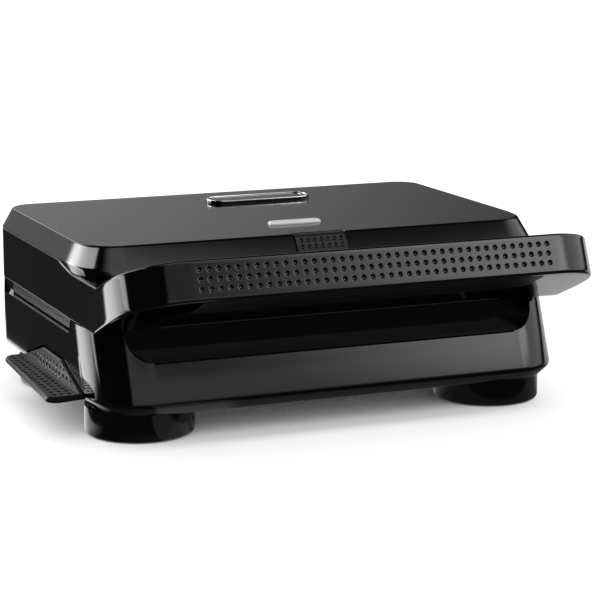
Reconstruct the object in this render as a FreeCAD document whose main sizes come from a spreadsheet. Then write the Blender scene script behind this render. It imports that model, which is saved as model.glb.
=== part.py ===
"""A closed countertop donut maker: base, hinged lid with a raised handle, and two ring-moulding plates.

Millimetres, +Z up. X = 0 is the middle of the body, -Y is the handle side, Z = 0 is the table.
"""
import FreeCAD, Part
import math
import os
import Sketcher

Vector = FreeCAD.Vector

doc = FreeCAD.newDocument("DonutMaker")
sheet = doc.addObject("Spreadsheet::Sheet", "Sizes")
nodes = []
rows = []


class Size:
    """A number together with the sheet expression that gives it."""

    def __init__(self, value, text):
        self.value = value
        self.text = text

    def __add__(self, other):
        other = as_size(other)
        return Size(self.value + other.value, "(%s + %s)" % (self.text, other.text))

    def __sub__(self, other):
        other = as_size(other)
        return Size(self.value - other.value, "(%s - %s)" % (self.text, other.text))

    def __mul__(self, other):
        other = as_size(other)
        return Size(self.value * other.value, "(%s * %s)" % (self.text, other.text))

    def __truediv__(self, other):
        other = as_size(other)
        return Size(self.value / other.value, "(%s / %s)" % (self.text, other.text))

    def __neg__(self):
        return Size(-self.value, "(0 - %s)" % self.text)


def as_size(item):
    """A plain number becomes a Size with itself as its expression."""
    if isinstance(item, Size):
        return item
    return Size(float(item), "(%r)" % float(item))


def root(square):
    return Size(math.sqrt(square.value), "sqrt(%s)" % square.text)


def size(alias, number, meaning):
    """Put one driving dimension in the sheet."""
    row = len(rows) + 1
    rows.append(alias)
    sheet.set("A%d" % row, meaning)
    sheet.set("B%d" % row, str(number))
    sheet.setAlias("B%d" % row, alias)
    return Size(float(number), "Sizes." + alias)


def fresh(kind, name):
    return doc.addObject(kind, name)


def keep(item, label):
    """Name a finished sub-part: its label is the name of its file."""
    item.Label = label
    nodes.append(item)
    return item


def bind(item, name, value):
    item.setExpression(name, as_size(value).text)


def new_body(name):
    return fresh("PartDesign::Body", name)


def sketch_on(body, role, offset):
    """An empty sketch on one of the body's origin planes, moved along the plane's normal."""
    sketch = body.newObject("Sketcher::SketchObject", body.Name + "_sketch")
    plane = [item for item in body.Origin.OriginFeatures if item.Role == role][0]
    sketch.AttachmentSupport = [(plane, "")]
    sketch.MapMode = "FlatFace"
    bind(sketch, "AttachmentOffset.Base.z", offset)
    return sketch


def hold(sketch, kind, first, first_end, second, second_end, value):
    """A driving distance in the sketch, bound to its expression."""
    index = sketch.addConstraint(
        Sketcher.Constraint(kind, first, first_end, second, second_end, value.value)
    )
    sketch.setExpression("Constraints[%d]" % index, value.text)


def polygon(sketch, points):
    """A closed outline whose corners are each held by two distances from the origin."""
    points = [(as_size(across), as_size(along)) for across, along in points]
    places = [Vector(across.value, along.value, 0) for across, along in points]
    start = sketch.GeometryCount
    count = len(points)
    for index in range(count):
        sketch.addGeometry(Part.LineSegment(places[index], places[(index + 1) % count]), False)
    for index in range(count):
        after = start + (index + 1) % count
        sketch.addConstraint(Sketcher.Constraint("Coincident", start + index, 2, after, 1))
    for index, (across, along) in enumerate(points):
        hold(sketch, "DistanceX", -1, 1, start + index, 1, across)
        hold(sketch, "DistanceY", -1, 1, start + index, 1, along)
    return sketch


def rounded(sketch, left, right, low, high, low_radius, high_radius):
    """A rectangle with round corners, one radius at the low side and one at the high side."""
    left, right, low, high = [as_size(item) for item in (left, right, low, high)]
    low_radius, high_radius = as_size(low_radius), as_size(high_radius)
    x0, x1, y0, y1 = left.value, right.value, low.value, high.value
    ra, rb = low_radius.value, high_radius.value
    corners = [
        (x1 - ra, y0 + ra, ra, -90, low_radius),
        (x1 - rb, y1 - rb, rb, 0, high_radius),
        (x0 + rb, y1 - rb, rb, 90, high_radius),
        (x0 + ra, y0 + ra, ra, 180, low_radius),
    ]
    sides = [
        (x0 + ra, y0, x1 - ra, y0),
        (x1, y0 + ra, x1, y1 - rb),
        (x1 - rb, y1, x0 + rb, y1),
        (x0, y1 - rb, x0, y0 + ra),
    ]
    start = sketch.GeometryCount
    normal = Vector(0, 0, 1)
    for side, corner in zip(sides, corners):
        line = Part.LineSegment(Vector(side[0], side[1], 0), Vector(side[2], side[3], 0))
        sketch.addGeometry(line, False)
        circle = Part.Circle(Vector(corner[0], corner[1], 0), normal, corner[2])
        turn = math.radians(corner[3])
        sketch.addGeometry(Part.ArcOfCircle(circle, turn, turn + math.pi / 2), False)
    for index in range(4):
        line = start + 2 * index
        arc = line + 1
        following = start + (2 * index + 2) % 8
        sketch.addConstraint(Sketcher.Constraint("Tangent", line, 2, arc, 1))
        sketch.addConstraint(Sketcher.Constraint("Tangent", arc, 2, following, 1))
        direction = "Horizontal" if index % 2 == 0 else "Vertical"
        sketch.addConstraint(Sketcher.Constraint(direction, line))
        radius = corners[index][4]
        bound = sketch.addConstraint(Sketcher.Constraint("Radius", arc, radius.value))
        sketch.setExpression("Constraints[%d]" % bound, radius.text)
    hold(sketch, "DistanceY", -1, 1, start, 1, low)
    hold(sketch, "DistanceX", -1, 1, start + 2, 1, right)
    hold(sketch, "DistanceY", -1, 1, start + 4, 1, high)
    hold(sketch, "DistanceX", -1, 1, start + 6, 1, left)
    return sketch


def circles(sketch, places, radius):
    """Round outlines of one radius at the given places."""
    radius = as_size(radius)
    for across, along in places:
        across, along = as_size(across), as_size(along)
        index = sketch.GeometryCount
        centre = Vector(across.value, along.value, 0)
        sketch.addGeometry(Part.Circle(centre, Vector(0, 0, 1), radius.value), False)
        hold(sketch, "DistanceX", -1, 1, index, 3, across)
        hold(sketch, "DistanceY", -1, 1, index, 3, along)
        bound = sketch.addConstraint(Sketcher.Constraint("Radius", index, radius.value))
        sketch.setExpression("Constraints[%d]" % bound, radius.text)
    return sketch


def extrude(body, kind, sketch, length, both, flipped):
    """A pad or a pocket of the sketch; a pocket has to take some material away."""
    doc.recompute()
    before = body.Shape.Volume if body.Tip else 0.0
    feature = body.newObject("PartDesign::" + kind, body.Name + "_" + kind)
    feature.Profile = sketch
    bind(feature, "Length", length)
    if both:
        feature.SideType = "Symmetric"
    feature.Reversed = flipped
    doc.recompute()
    if kind == "Pocket" and before - body.Shape.Volume < 0.5:
        raise RuntimeError("%s cuts nothing" % feature.Name)
    return feature


def pad(body, sketch, length, both=False, flipped=False):
    return extrude(body, "Pad", sketch, length, both, flipped)


def pocket(body, sketch, length, both=False, flipped=False):
    return extrude(body, "Pocket", sketch, length, both, flipped)


def loft(body, kind, sections):
    """A ruled loft through the sections, added or taken away."""
    doc.recompute()
    feature = body.newObject("PartDesign::" + kind, body.Name + "_" + kind)
    feature.Profile = sections[0]
    feature.Sections = sections[1:]
    feature.Ruled = True
    doc.recompute()
    if body.Shape.Volume < 1:
        raise RuntimeError("%s gives no solid" % feature.Name)
    return feature


def round_edges(body, radius, wanted):
    """Fillet those edges of the body's last feature that the test picks."""
    doc.recompute()
    last = body.Tip
    names = ["Edge%d" % (i + 1) for i, edge in enumerate(last.Shape.Edges) if wanted(edge)]
    if not names:
        raise RuntimeError("no edge to round on %s" % body.Name)
    feature = body.newObject("PartDesign::Fillet", body.Name + "_Fillet")
    feature.Base = (last, names)
    bind(feature, "Radius", radius)
    doc.recompute()
    return feature


def between(edge, x, y, z):
    """True when every end of the edge lies in the three (low, high) spans."""
    spans = ((x, 0), (y, 1), (z, 2))
    for vertex in edge.Vertexes:
        for span, axis in spans:
            if span is not None and not span[0] - 0.01 <= vertex.Point[axis] <= span[1] + 0.01:
                return False
    return True


def upright(edge):
    """True for a straight edge that runs more up than along."""
    ends = [vertex.Point for vertex in edge.Vertexes]
    if len(ends) < 2:
        return False
    rise = ends[1] - ends[0]
    return abs(rise.z) > 0.7 * rise.Length


def place(item, x, y, z):
    bind(item, "Placement.Base.x", x)
    bind(item, "Placement.Base.y", y)
    bind(item, "Placement.Base.z", z)
    return item


def block(x, y, z):
    """A box from three (low, high) spans."""
    spans = [(as_size(low), as_size(high)) for low, high in (x, y, z)]
    item = fresh("Part::Box", "Block")
    for name, (low, high) in zip(("Length", "Width", "Height"), spans):
        bind(item, name, high - low)
    return place(item, spans[0][0], spans[1][0], spans[2][0])


TURNS = {
    "x": FreeCAD.Rotation(Vector(0, 1, 0), 90),
    "y": FreeCAD.Rotation(Vector(1, 0, 0), -90),
    "z": FreeCAD.Rotation(),
}


def rod(axis, x, y, z, radius, length):
    """A round bar that starts at a point and runs along one axis."""
    item = fresh("Part::Cylinder", "Rod")
    bind(item, "Radius", radius)
    bind(item, "Height", length)
    item.Placement = FreeCAD.Placement(Vector(), TURNS[axis])
    return place(item, x, y, z)


def join(items):
    """One shape from several."""
    if len(items) == 1:
        return items[0]
    item = fresh("Part::MultiFuse", "Joined")
    item.Shapes = items
    item.Refine = True
    return item


def carve(base, tools):
    """The base without the tools."""
    item = fresh("Part::Cut", "Carved")
    item.Base = base
    item.Tool = join(tools)
    item.Refine = True
    return item


# Ring plates: the rings set the plates, and the plates set the body round them
ring_radius = size("ring_radius", 21.5, "radius of a ring mould's middle line")
ring_bore = size("ring_bore", 13, "section radius of a ring mould")
ring_skin = size("ring_skin", 2.5, "skin of a ring mould")
ring_space_x = size("ring_space_x", 2, "space between ring moulds across")
ring_space_y = size("ring_space_y", 1.5, "space between the two rows of moulds")
plate_side = size("plate_side", 33.6, "flange outside the outer rings, at the sides")
plate_end = size("plate_end", 11.25, "flange outside the rings, at front and back")
plate_middle = size("plate_middle", 36, "middle of the plates, behind the middle of the frame")
plate_corner = size("plate_corner", 15, "corner radius of the plates")
plate_flange = size("plate_flange", 3.6, "thickness of a plate's flange")
plate_gap = size("plate_gap", 0.4, "gap between the closed plates")
plate_drop = size("plate_drop", 3.6, "how far below the split the plates meet")
seat_gap = size("seat_gap", 0.1, "gap under a plate's flange")
seat_room = size("seat_room", 0.5, "room round a plate in its seat")
shelf_ring = size("shelf_ring", 8, "width of the shelf that carries a plate")
shelf_thick = size("shelf_thick", 3.6, "thickness of that shelf")

# Body outline, built outwards from the plates
plate_inset = size("plate_inset", 3.4, "from the plate's side to the body's side")
back_land = size("back_land", 16, "from the plate's back edge to the body's back")
front_land = size("front_land", 10.5, "from the plate's front edge to the front recess")
recess_depth = size("recess_depth", 11.5, "depth of the front recess at the split")
front_lean = size("front_lean", 16, "how much further forward the front wall is at its foot")
base_floor = size("base_floor", 17, "underside of the base above the table")
edge_rise = size("edge_rise", 7, "height of the bevel round the base's foot")
edge_inset = size("edge_inset", 7, "how far that bevel goes in")
base_rise = size("base_rise", 41, "height of the base walls above the bevel")
split_gap = size("split_gap", 0.5, "gap between base and lid")
front_corner = size("front_corner", 30, "plan radius of the front corners")
back_corner = size("back_corner", 20, "plan radius of the back corners")
wall = size("wall", 3, "moulded wall")

ring_reach = ring_radius + ring_bore + ring_skin
ring_pitch_x = ring_reach * 2 + ring_space_x
ring_pitch_y = ring_reach * 2 + ring_space_y
plate_half_width = ring_pitch_x + ring_reach + plate_side
plate_half_depth = ring_pitch_y / 2 + ring_reach + plate_end
plate_front = plate_half_depth - plate_middle
plate_back = plate_half_depth + plate_middle
half_width = plate_half_width + plate_inset
back = plate_back + back_land
recess_back = plate_front + front_land
front_split = recess_back + recess_depth
front_edge = front_split + front_lean
front_cavity = recess_back - wall
edge_height = base_floor + edge_rise
split_height = edge_height + base_rise
frame_floor = split_height + split_gap
plate_meeting = split_height - plate_drop
lower_face = plate_meeting - plate_gap / 2
upper_face = plate_meeting + plate_gap / 2
inner_half = half_width - wall
seat_floor = lower_face - plate_flange - seat_gap
shelf_floor = seat_floor - shelf_thick
frame_shelf = frame_floor + shelf_thick
seat_back = plate_back + seat_room
opening_half = plate_half_width + seat_room - shelf_ring
opening_front = plate_front + seat_room - shelf_ring
opening_back = seat_back - shelf_ring
lean = front_lean / base_rise


def front_at(height):
    """Y of the leaning front wall at a height."""
    return -(front_split + (split_height - height) * lean)


# Base details
notch_height = size("notch_height", 8.2, "depth of the low notch in each side wall")
notch_front = size("notch_front", 30, "front end of the notch, ahead of the middle")
notch_end = size("notch_end", 12, "from the notch's back end to the body's back")
notch_slant = size("notch_slant", 8, "slant of the notch's front end")
recess_height = size("recess_height", 17.5, "height of the front recess")
recess_side = size("recess_side", 19, "from the front recess to the body's side")
recess_corner = size("recess_corner", 15, "corner radius of the front recess")
cover_thick = size("cover_thick", 3, "thickness of the bottom cover")
cover_room = size("cover_room", 0.3, "room round the bottom cover")
boss_radius = size("boss_radius", 5, "screw boss radius")
boss_in = size("boss_in", 50, "screw bosses from the body's side")
boss_end = size("boss_end", 14, "back screw bosses from the body's back")
screw_radius = size("screw_radius", 1.6, "screw shank radius")
screw_head = size("screw_head", 3.2, "screw head radius")
screw_head_thick = size("screw_head_thick", 2, "screw head thickness")
screw_length = size("screw_length", 12, "screw shank length")
screw_fit = size("screw_fit", 0.05, "room round a screw")
foot_in = size("foot_in", 35.6, "middle of a foot from the body's side")
foot_set = size("foot_set", 26.3, "front feet behind the front wall at the split")
foot_end = size("foot_end", 42, "back feet from the body's back")
foot_radius = size("foot_radius", 32.5, "foot radius")
foot_round = size("foot_round", 4, "rounding under a foot")
pad_radius = size("pad_radius", 25, "foot pad radius")
pad_thick = size("pad_thick", 1.5, "how far a foot pad stands out")
pad_depth = size("pad_depth", 1, "how deep a foot pad is set in")
gland_x = size("gland_x", -40, "cord gland, across")
gland_rise = size("gland_rise", 21, "cord gland above the base's underside")
gland_radius = size("gland_radius", 6, "cord gland body")
gland_rim = size("gland_rim", 2.5, "how much wider the gland's flange is")
gland_wall = size("gland_wall", 2.7, "wall of the gland round its bore")
gland_proud = size("gland_proud", 3, "how far the gland stands out")
gland_inside = size("gland_inside", 6, "how far the gland reaches in")
rim_floor = base_floor + cover_thick
notch_floor = split_height - notch_height
notch_back = back - notch_end
recess_floor = split_height - recess_height
recess_half = half_width - recess_side
boss_x = half_width - boss_in
boss_front = front_cavity - boss_radius
boss_back = back - boss_end
foot_x = half_width - foot_in
foot_front = front_split - foot_set
foot_back = back - foot_end
gland_height = base_floor + gland_rise

# Lid and handle
arm_rise = size("arm_rise", 28.5, "height of the handle's arms")
step_rise = size("step_rise", 4.5, "step up from the arms to the side panels")
step_front = size("step_front", 32, "front end of that step, ahead of the middle")
step_length = size("step_length", 29, "length of that step")
crown = size("crown", 12.5, "height of the lid cover above the side panels")
cap_gap = size("cap_gap", 0.2, "gap between the lid cover and the lid frame")
cap_setback = size("cap_setback", 2.2, "lid cover's foot behind the front wall")
front_slope = size("front_slope", 12.5, "how far the lid cover's front slopes back")
side_slope = size("side_slope", 6, "how far the lid cover's sides slope in")
back_slope = size("back_slope", 8, "how far the lid cover's back slopes in")
cap_front_corner = size("cap_front_corner", 27, "front corners of the lid cover at its foot")
cap_back_corner = size("cap_back_corner", 20, "back corners of the lid cover at its foot")
top_front_corner = size("top_front_corner", 20, "front corners of the flat top")
top_back_corner = size("top_back_corner", 15, "back corners of the flat top")
cap_wall = size("cap_wall", 2.5, "wall of the lid cover")
cap_edge = size("cap_edge", 1.5, "bevel of the lid's top edge")
lid_front_wall = size("lid_front_wall", 4.2, "thickness of the lid frame's front wall at its top")
arm_reach = size("arm_reach", 5.5, "from the front wall to where the handle starts to rise")
handle_rise = size("handle_rise", 22.3, "how far the handle rises above its arms")
handle_run = size("handle_run", 52.5, "how far the handle reaches out while it rises")
handle_thick = size("handle_thick", 24, "thickness of the handle")
handle_corner = size("handle_corner", 36, "corner radius of the handle")
handle_edge = size("handle_edge", 1.5, "rounding of the handle's upper front edge")
arm_width = size("arm_width", 40, "width of a handle arm")
bar_depth = size("bar_depth", 25, "depth of the handle bar along its top")
gap_corner = size("gap_corner", 9, "corner radius of the finger gap")
grip_wall = size("grip_wall", 3.5, "wall of the hollow handle bar")
grip_end = size("grip_end", 4, "solid end of the handle bar beside the finger gap")
grip_cover = size("grip_cover", 3, "thickness of the handle cover")
grip_room = size("grip_room", 0.15, "room round the handle cover")
lid_screw_in = size("lid_screw_in", 32, "back lid screws from the body's side")
lid_screw_set = size("lid_screw_set", 5, "back lid screws behind the lid's inside")
arm_screw_set = size("arm_screw_set", 8.5, "arm screws ahead of the lid's inside")
lens_half = size("lens_half", 17, "half the width of the indicator lens")
lens_depth = size("lens_depth", 8, "depth of the indicator lens")
lens_middle = size("lens_middle", 8, "middle of the lens, ahead of the middle")
lens_proud = size("lens_proud", 1.9, "how far the lens stands out")
lens_below = size("lens_below", 2.5, "how far the lens reaches below the roof")
lens_room = size("lens_room", 0.15, "room round the lens")
lens_corner = size("lens_corner", 1, "corner radius of the lens")
lens_edge = size("lens_edge", 0.6, "rounding of the lens's top edge")
board_thick = size("board_thick", 1.6, "thickness of the indicator board")
board_margin = size("board_margin", 3.5, "indicator board outside the lens")
badge_x = size("badge_x", 14, "middle of the badge, across")
badge_y = size("badge_y", 89, "middle of the badge, behind the middle")
badge_half = size("badge_half", 35.5, "half the length of the badge")
badge_radius = size("badge_radius", 11.5, "end radius of the badge")
badge_proud = size("badge_proud", 2.4, "how far the badge rim stands out")
badge_rim = size("badge_rim", 1.6, "width of the badge rim")
badge_sink = size("badge_sink", 0.5, "how far the badge face lies below its rim")
badge_room = size("badge_room", 0.1, "room between badge face and rim")
arm_top = frame_floor + arm_rise
side_top = arm_top + step_rise
step_back = step_front - step_length
lid_top = side_top + crown
roof = lid_top - cap_wall
cap_front = -front_at(arm_top) - cap_setback
top_front = cap_front - front_slope
top_half_width = half_width - side_slope
top_back = back - back_slope
frame_cavity_front = -front_at(arm_top) - lid_front_wall
frame_cavity_back = plate_back
handle_reach = front_split + arm_reach + handle_run
handle_top = arm_top + handle_rise
handle_length = root(handle_rise * handle_rise + handle_run * handle_run)
pitch_sine = handle_rise / handle_length
pitch_cosine = handle_run / handle_length
slope = handle_rise / handle_run
gap_half = half_width - arm_width
gap_front = handle_reach - bar_depth
grip_half = gap_half - grip_end

# Hinge
hinge_in = size("hinge_in", 65, "middle of each hinge from the body's side")
knuckle_radius = size("knuckle_radius", 4.5, "hinge knuckle radius")
knuckle_half = size("knuckle_half", 5, "half the width of the lid's knuckle")
knuckle_gap = size("knuckle_gap", 0.4, "gap between hinge knuckles")
ear_width = size("ear_width", 9.6, "width of each base knuckle")
hinge_pin = size("hinge_pin", 2.4, "hinge pin radius")
pin_fit = size("pin_fit", 0.05, "radial running clearance of a pin")
niche_room = size("niche_room", 1, "room beside a hinge in its niche")
niche_drop = size("niche_drop", 8.5, "depth of the hinge niche in the base")
niche_in = size("niche_in", 11.5, "hinge niches from the body's back")
niche_rise = size("niche_rise", 16.5, "height of the hinge niche in the lid")
bracket_thick = size("bracket_thick", 2.5, "hinge plate thickness")
bracket_room = size("bracket_room", 0.5, "room ahead of a hinge bracket")
arm_lift = size("arm_lift", 1.5, "lid arm's plate above its knuckle")
hinge_relief = size("hinge_relief", 6, "bevel behind the hinge axis")
hinge_x = half_width - hinge_in
hinge_y = back - knuckle_radius
hinge_z = split_height + split_gap / 2
niche_floor = split_height - niche_drop
niche_front = back - niche_in
niche_top = frame_floor + niche_rise
niche_half = knuckle_half + knuckle_gap + ear_width + niche_room

# Release button on the front of the lid
button_half = size("button_half", 16.3, "half the width of the button")
button_room = size("button_room", 0.7, "room round the button")
button_lift = size("button_lift", 2.5, "foot of the button above the handle's arms")
button_sink = size("button_sink", 0.6, "top of the button below the lid's top")
button_proud = size("button_proud", 1.2, "how far the button stands out")
button_depth = size("button_depth", 6, "depth of the button at its foot")
button_pivot_set = size("button_pivot_set", 0.8, "button pivot ahead of the flat top")
button_pivot_drop = size("button_pivot_drop", 5.8, "button pivot below the lid's top")
button_pin = size("button_pin", 1.2, "button pin radius")
button_hub = size("button_hub", 2.6, "button hub radius")
button_ear = size("button_ear", 4, "width of the ears that hold the button pin")
latch_half = size("latch_half", 6, "half the width of the upper catch")
latch_set = size("latch_set", 7, "front face of the upper catch behind the plate's front edge")
latch_thick = size("latch_thick", 2.5, "thickness of the upper catch")
latch_nose = size("latch_nose", 3.5, "length of the upper catch's nose")
latch_lift = size("latch_lift", 0.5, "upper catch above the lid's shelf")
latch_step = size("latch_step", 1.7, "height of the upper catch's nose")
latch_bridge = size("latch_bridge", 3.5, "height of the bridge from the button to its catch")
catch_gap = size("catch_gap", 0.5, "gap between a catch and a plate lug")
lug_rise = size("lug_rise", 2.5, "thickness of the upper lug's foot")
lug_wall = size("lug_wall", 2, "thickness of the upper lug")
lug_reach = size("lug_reach", 4.5, "length of the upper lug's foot")
lug_side = size("lug_side", 2, "how much wider a lug is than its catch")
window_room = size("window_room", 1, "room round the upper lug in the lid's shelf")
button_low = arm_top + button_lift
button_high = lid_top - button_sink
button_pivot_y = top_front + button_pivot_set
button_pivot_z = lid_top - button_pivot_drop
latch_y = plate_front - latch_set
latch_height = frame_shelf + latch_lift
lug_top = latch_height + latch_step + catch_gap + lug_rise
lug_front = -latch_y - latch_nose - catch_gap - lug_wall

# Heating
tray_room = size("tray_room", 12, "reflector from the side of the shelf's opening")
tray_thick = size("tray_thick", 1.2, "reflector sheet thickness")
tray_rim = size("tray_rim", 6, "height of a reflector's rim")
tray_front_room = size("tray_front_room", 10, "lower reflector behind the plate's front edge")
tray_end = size("tray_end", 10, "reflectors ahead of the plate's back edge")
tray_corner = size("tray_corner", 12, "corner radius of the reflectors")
latch_clear = size("latch_clear", 14.5, "upper reflector behind the upper catch")
heater_radius = size("heater_radius", 3.3, "heating tube radius")
heater_air = size("heater_air", 1.5, "air between the heating tube and the ring moulds")
heater_room = size("heater_room", 15, "heating loop from the reflector's side")
heater_set = size("heater_set", 12, "heating loop from the reflector's front and back")
heater_bend = size("heater_bend", 24, "bend radius of the heating loop")
heater_seat = size("heater_seat", 0.1, "gap between the heating tube and its reflector")
post_radius = size("post_radius", 4, "reflector post radius")
post_in = size("post_in", 31, "reflector posts from the reflector's side")
post_set = size("post_set", 16, "reflector posts from the upper reflector's front and back")
thermostat_radius = size("thermostat_radius", 8, "thermostat radius")
thermostat_height = size("thermostat_height", 9, "thermostat height")
fuse_radius = size("fuse_radius", 4, "thermal fuse radius")
fuse_half = size("fuse_half", 14, "half the length of the thermal fuse")
terminal_length = size("terminal_length", 26, "terminal block length")
terminal_depth = size("terminal_depth", 16, "terminal block depth")
terminal_height = size("terminal_height", 12, "terminal block height")
terminal_set = size("terminal_set", 32, "terminal block ahead of the body's back")
tray_half = opening_half - tray_room
tray_back = plate_back - tray_end
heater_half = tray_half - heater_room
heater_stack = heater_air + heater_radius * 2 + heater_seat + tray_thick
lower_tray = lower_face - ring_bore - ring_skin - heater_stack
upper_tray = upper_face + ring_bore + ring_skin + heater_stack
lower_tray_front = plate_front - tray_front_room
upper_tray_front = latch_y - latch_thick - latch_clear
heater_front = upper_tray_front - heater_set
heater_back = tray_back - heater_set
post_x = tray_half - post_in
post_front = upper_tray_front - post_set
post_back = tray_back - post_set

# Release lever on the left side
lever_middle = size("lever_middle", 9.5, "middle of the lever along the side")
lever_half = size("lever_half", 58.5, "half the length of the lever")
lever_arch_half = size("lever_arch_half", 19, "half the length of the arch's flat top")
lever_rise = size("lever_rise", 9, "top of the paddle above the base's underside")
lever_thick = size("lever_thick", 4, "thickness of the paddle")
arch_rise = size("arch_rise", 12, "height of the lever's arch above the paddle")
lever_out = size("lever_out", 22, "how far the paddle reaches out at its front")
lever_taper = size("lever_taper", 6, "how much the paddle narrows to the back")
lever_corner = size("lever_corner", 6, "outer corner radius of the paddle")
lever_proud = size("lever_proud", 2, "how far the arch stands out of the wall")
lever_depth = size("lever_depth", 6, "how far the arch reaches in from the wall's face")
lever_room = size("lever_room", 1.4, "room round the lever in the wall")
lever_pivot_in = size("lever_pivot_in", 12, "lever pivot from the body's side")
lever_pivot_rise = size("lever_pivot_rise", 4, "lever pivot above the paddle")
lever_pin = size("lever_pin", 2.5, "lever pin radius")
lever_hub = size("lever_hub", 5, "lever hub radius")
lever_hub_half = size("lever_hub_half", 30, "half the length of the lever hub")
ear_thick = size("ear_thick", 4, "thickness of the lever bracket's ears")
ear_trim = size("ear_trim", 1, "how much the ears are trimmed on the wall's side")
ear_foot = size("ear_foot", 2, "thickness of the lever bracket's foot")
spring_width = size("spring_width", 8, "width of the lever spring")
spring_wire = size("spring_wire", 1.4, "thickness of the lever spring's coil")
side_gap = size("side_gap", 0.5, "end gap of a turning piece")
catch_half = size("catch_half", 7, "half the width of the lever's catch")
catch_thick = size("catch_thick", 3, "thickness of the lever's catch")
catch_step = size("catch_step", 2.4, "height of that catch's nose")
lug_room = size("lug_room", 9, "lower plate's lug from the side of the shelf's opening")
lug_thick = size("lug_thick", 4, "thickness of the lower plate's lug")
lug_hang = size("lug_hang", 11, "how far that lug hangs down")
lever_top = base_floor + lever_rise
lever_arch = lever_top + arch_rise
lever_reach = half_width + lever_out
lever_inner = half_width - lever_depth
lever_pivot_x = half_width - lever_pivot_in
lever_pivot_z = lever_top + lever_pivot_rise
lug_x = opening_half - lug_room
lug_low = lower_face - plate_flange - lug_hang
doc.recompute()


def outline(body, height, half, front, rear, front_round, rear_round):
    """A round-cornered plan outline at a height."""
    sketch = sketch_on(body, "XY_Plane", height)
    return rounded(sketch, -half, half, front, rear, front_round, rear_round)


# Base shell: three stacked outlines, bevelled at the foot, with the front wall leaning forward
base = new_body("base_shell")
loft(base, "AdditiveLoft", [
    outline(base, base_floor, half_width - edge_inset, -front_edge + edge_inset, back - edge_inset,
            front_corner - edge_inset, back_corner - edge_inset),
    outline(base, edge_height, half_width, -front_edge, back, front_corner, back_corner),
    outline(base, split_height, half_width, -front_split, back, front_corner, back_corner),
])
cavity_corner = back_corner - wall
loft(base, "SubtractiveLoft", [
    outline(base, base_floor, inner_half - edge_inset, -front_cavity, back - edge_inset - wall,
            cavity_corner - edge_inset / 2, cavity_corner - edge_inset / 2),
    outline(base, edge_height + 1, inner_half, -front_cavity, back - wall, cavity_corner, cavity_corner),
    outline(base, shelf_floor, inner_half, -front_cavity, back - wall, cavity_corner, cavity_corner),
])
sketch = outline(base, split_height, plate_half_width + seat_room, -plate_front - seat_room, seat_back,
                 plate_corner + seat_room, plate_corner + seat_room)
pocket(base, sketch, split_height - seat_floor)
sketch = outline(base, seat_floor, opening_half, -opening_front, opening_back, plate_corner, plate_corner)
pocket(base, sketch, shelf_thick * 2)
for side in (1, -1):
    sketch = sketch_on(base, "YZ_Plane", (half_width + 1) * side)
    polygon(sketch, [
        (-notch_front, split_height + 1),
        (notch_slant - notch_front, notch_floor),
        (notch_back, notch_floor),
        (notch_back, split_height + 1),
    ])
    pocket(base, sketch, wall + 2, flipped=side < 0)
sketch = sketch_on(base, "XZ_Plane", recess_back)
rounded(sketch, -recess_half, recess_half, recess_floor, split_height + 20, recess_corner, recess_corner)
pocket(base, sketch, front_edge, flipped=True)
boss_places = [(boss_x, -boss_front), (-boss_x, -boss_front), (boss_x, boss_back), (-boss_x, boss_back)]
sketch = circles(sketch_on(base, "XY_Plane", rim_floor), boss_places, boss_radius)
pad(base, sketch, shelf_floor - rim_floor + 1)
sketch = circles(sketch_on(base, "XY_Plane", rim_floor), boss_places, screw_radius + screw_fit)
pocket(base, sketch, screw_length, flipped=True)
for side in (1, -1):
    sketch = sketch_on(base, "XY_Plane", split_height + 1)
    polygon(sketch, [
        (hinge_x * side - niche_half, niche_front),
        (hinge_x * side + niche_half, niche_front),
        (hinge_x * side + niche_half, back + 5),
        (hinge_x * side - niche_half, back + 5),
    ])
    pocket(base, sketch, split_height + 1 - niche_floor)
sketch = sketch_on(base, "YZ_Plane", 0)
relief_start = back - hinge_relief
polygon(sketch, [
    (relief_start, split_height + 0.1),
    (back + 0.1, split_height - hinge_relief),
    (back + 0.1, split_height + 0.1),
])
pocket(base, sketch, half_width * 2 + 2, both=True)
sketch = sketch_on(base, "YZ_Plane", -(half_width + 1))


def lever_arch_points(room, low):
    """The lever's arched outline on the side wall, widened by some room."""
    reach = lever_half + room
    flat = lever_arch_half + room
    return [
        (lever_middle - reach, low),
        (lever_middle + reach, low),
        (lever_middle + reach, lever_top + room),
        (lever_middle + flat, lever_arch + room),
        (lever_middle - flat, lever_arch + room),
        (lever_middle - reach, lever_top + room),
    ]


polygon(sketch, lever_arch_points(lever_room, base_floor - 1))
pocket(base, sketch, half_width + 1 - lever_inner + wall + lever_proud, flipped=True)
sketch = sketch_on(base, "XZ_Plane", -(back + 1))
circles(sketch, [(gland_x, gland_height)], gland_radius + screw_fit)
pocket(base, sketch, wall + 4, flipped=True)
keep(base, "base_shell")

# Bottom cover, set flush into the base's underside
cover = new_body("bottom_cover")
sketch = outline(cover, base_floor, inner_half - edge_inset - cover_room, -front_cavity + cover_room,
                 back - edge_inset - wall - cover_room, cavity_corner - edge_inset / 2,
                 cavity_corner - edge_inset / 2)
pad(cover, sketch, cover_thick)
sketch = circles(sketch_on(cover, "XY_Plane", base_floor), boss_places, screw_radius + screw_fit)
pocket(cover, sketch, cover_thick, flipped=True)
sketch = circles(sketch_on(cover, "XY_Plane", base_floor), boss_places, screw_head + screw_fit)
pocket(cover, sketch, screw_head_thick, flipped=True)
keep(cover, "bottom_cover")

screws = []
for across, along in boss_places:
    screws.append(rod("z", across, along, base_floor, screw_head, screw_head_thick))
    screws.append(rod("z", across, along, base_floor, screw_radius, screw_head_thick + screw_length))
keep(join(screws), "cover_screws")

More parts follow.
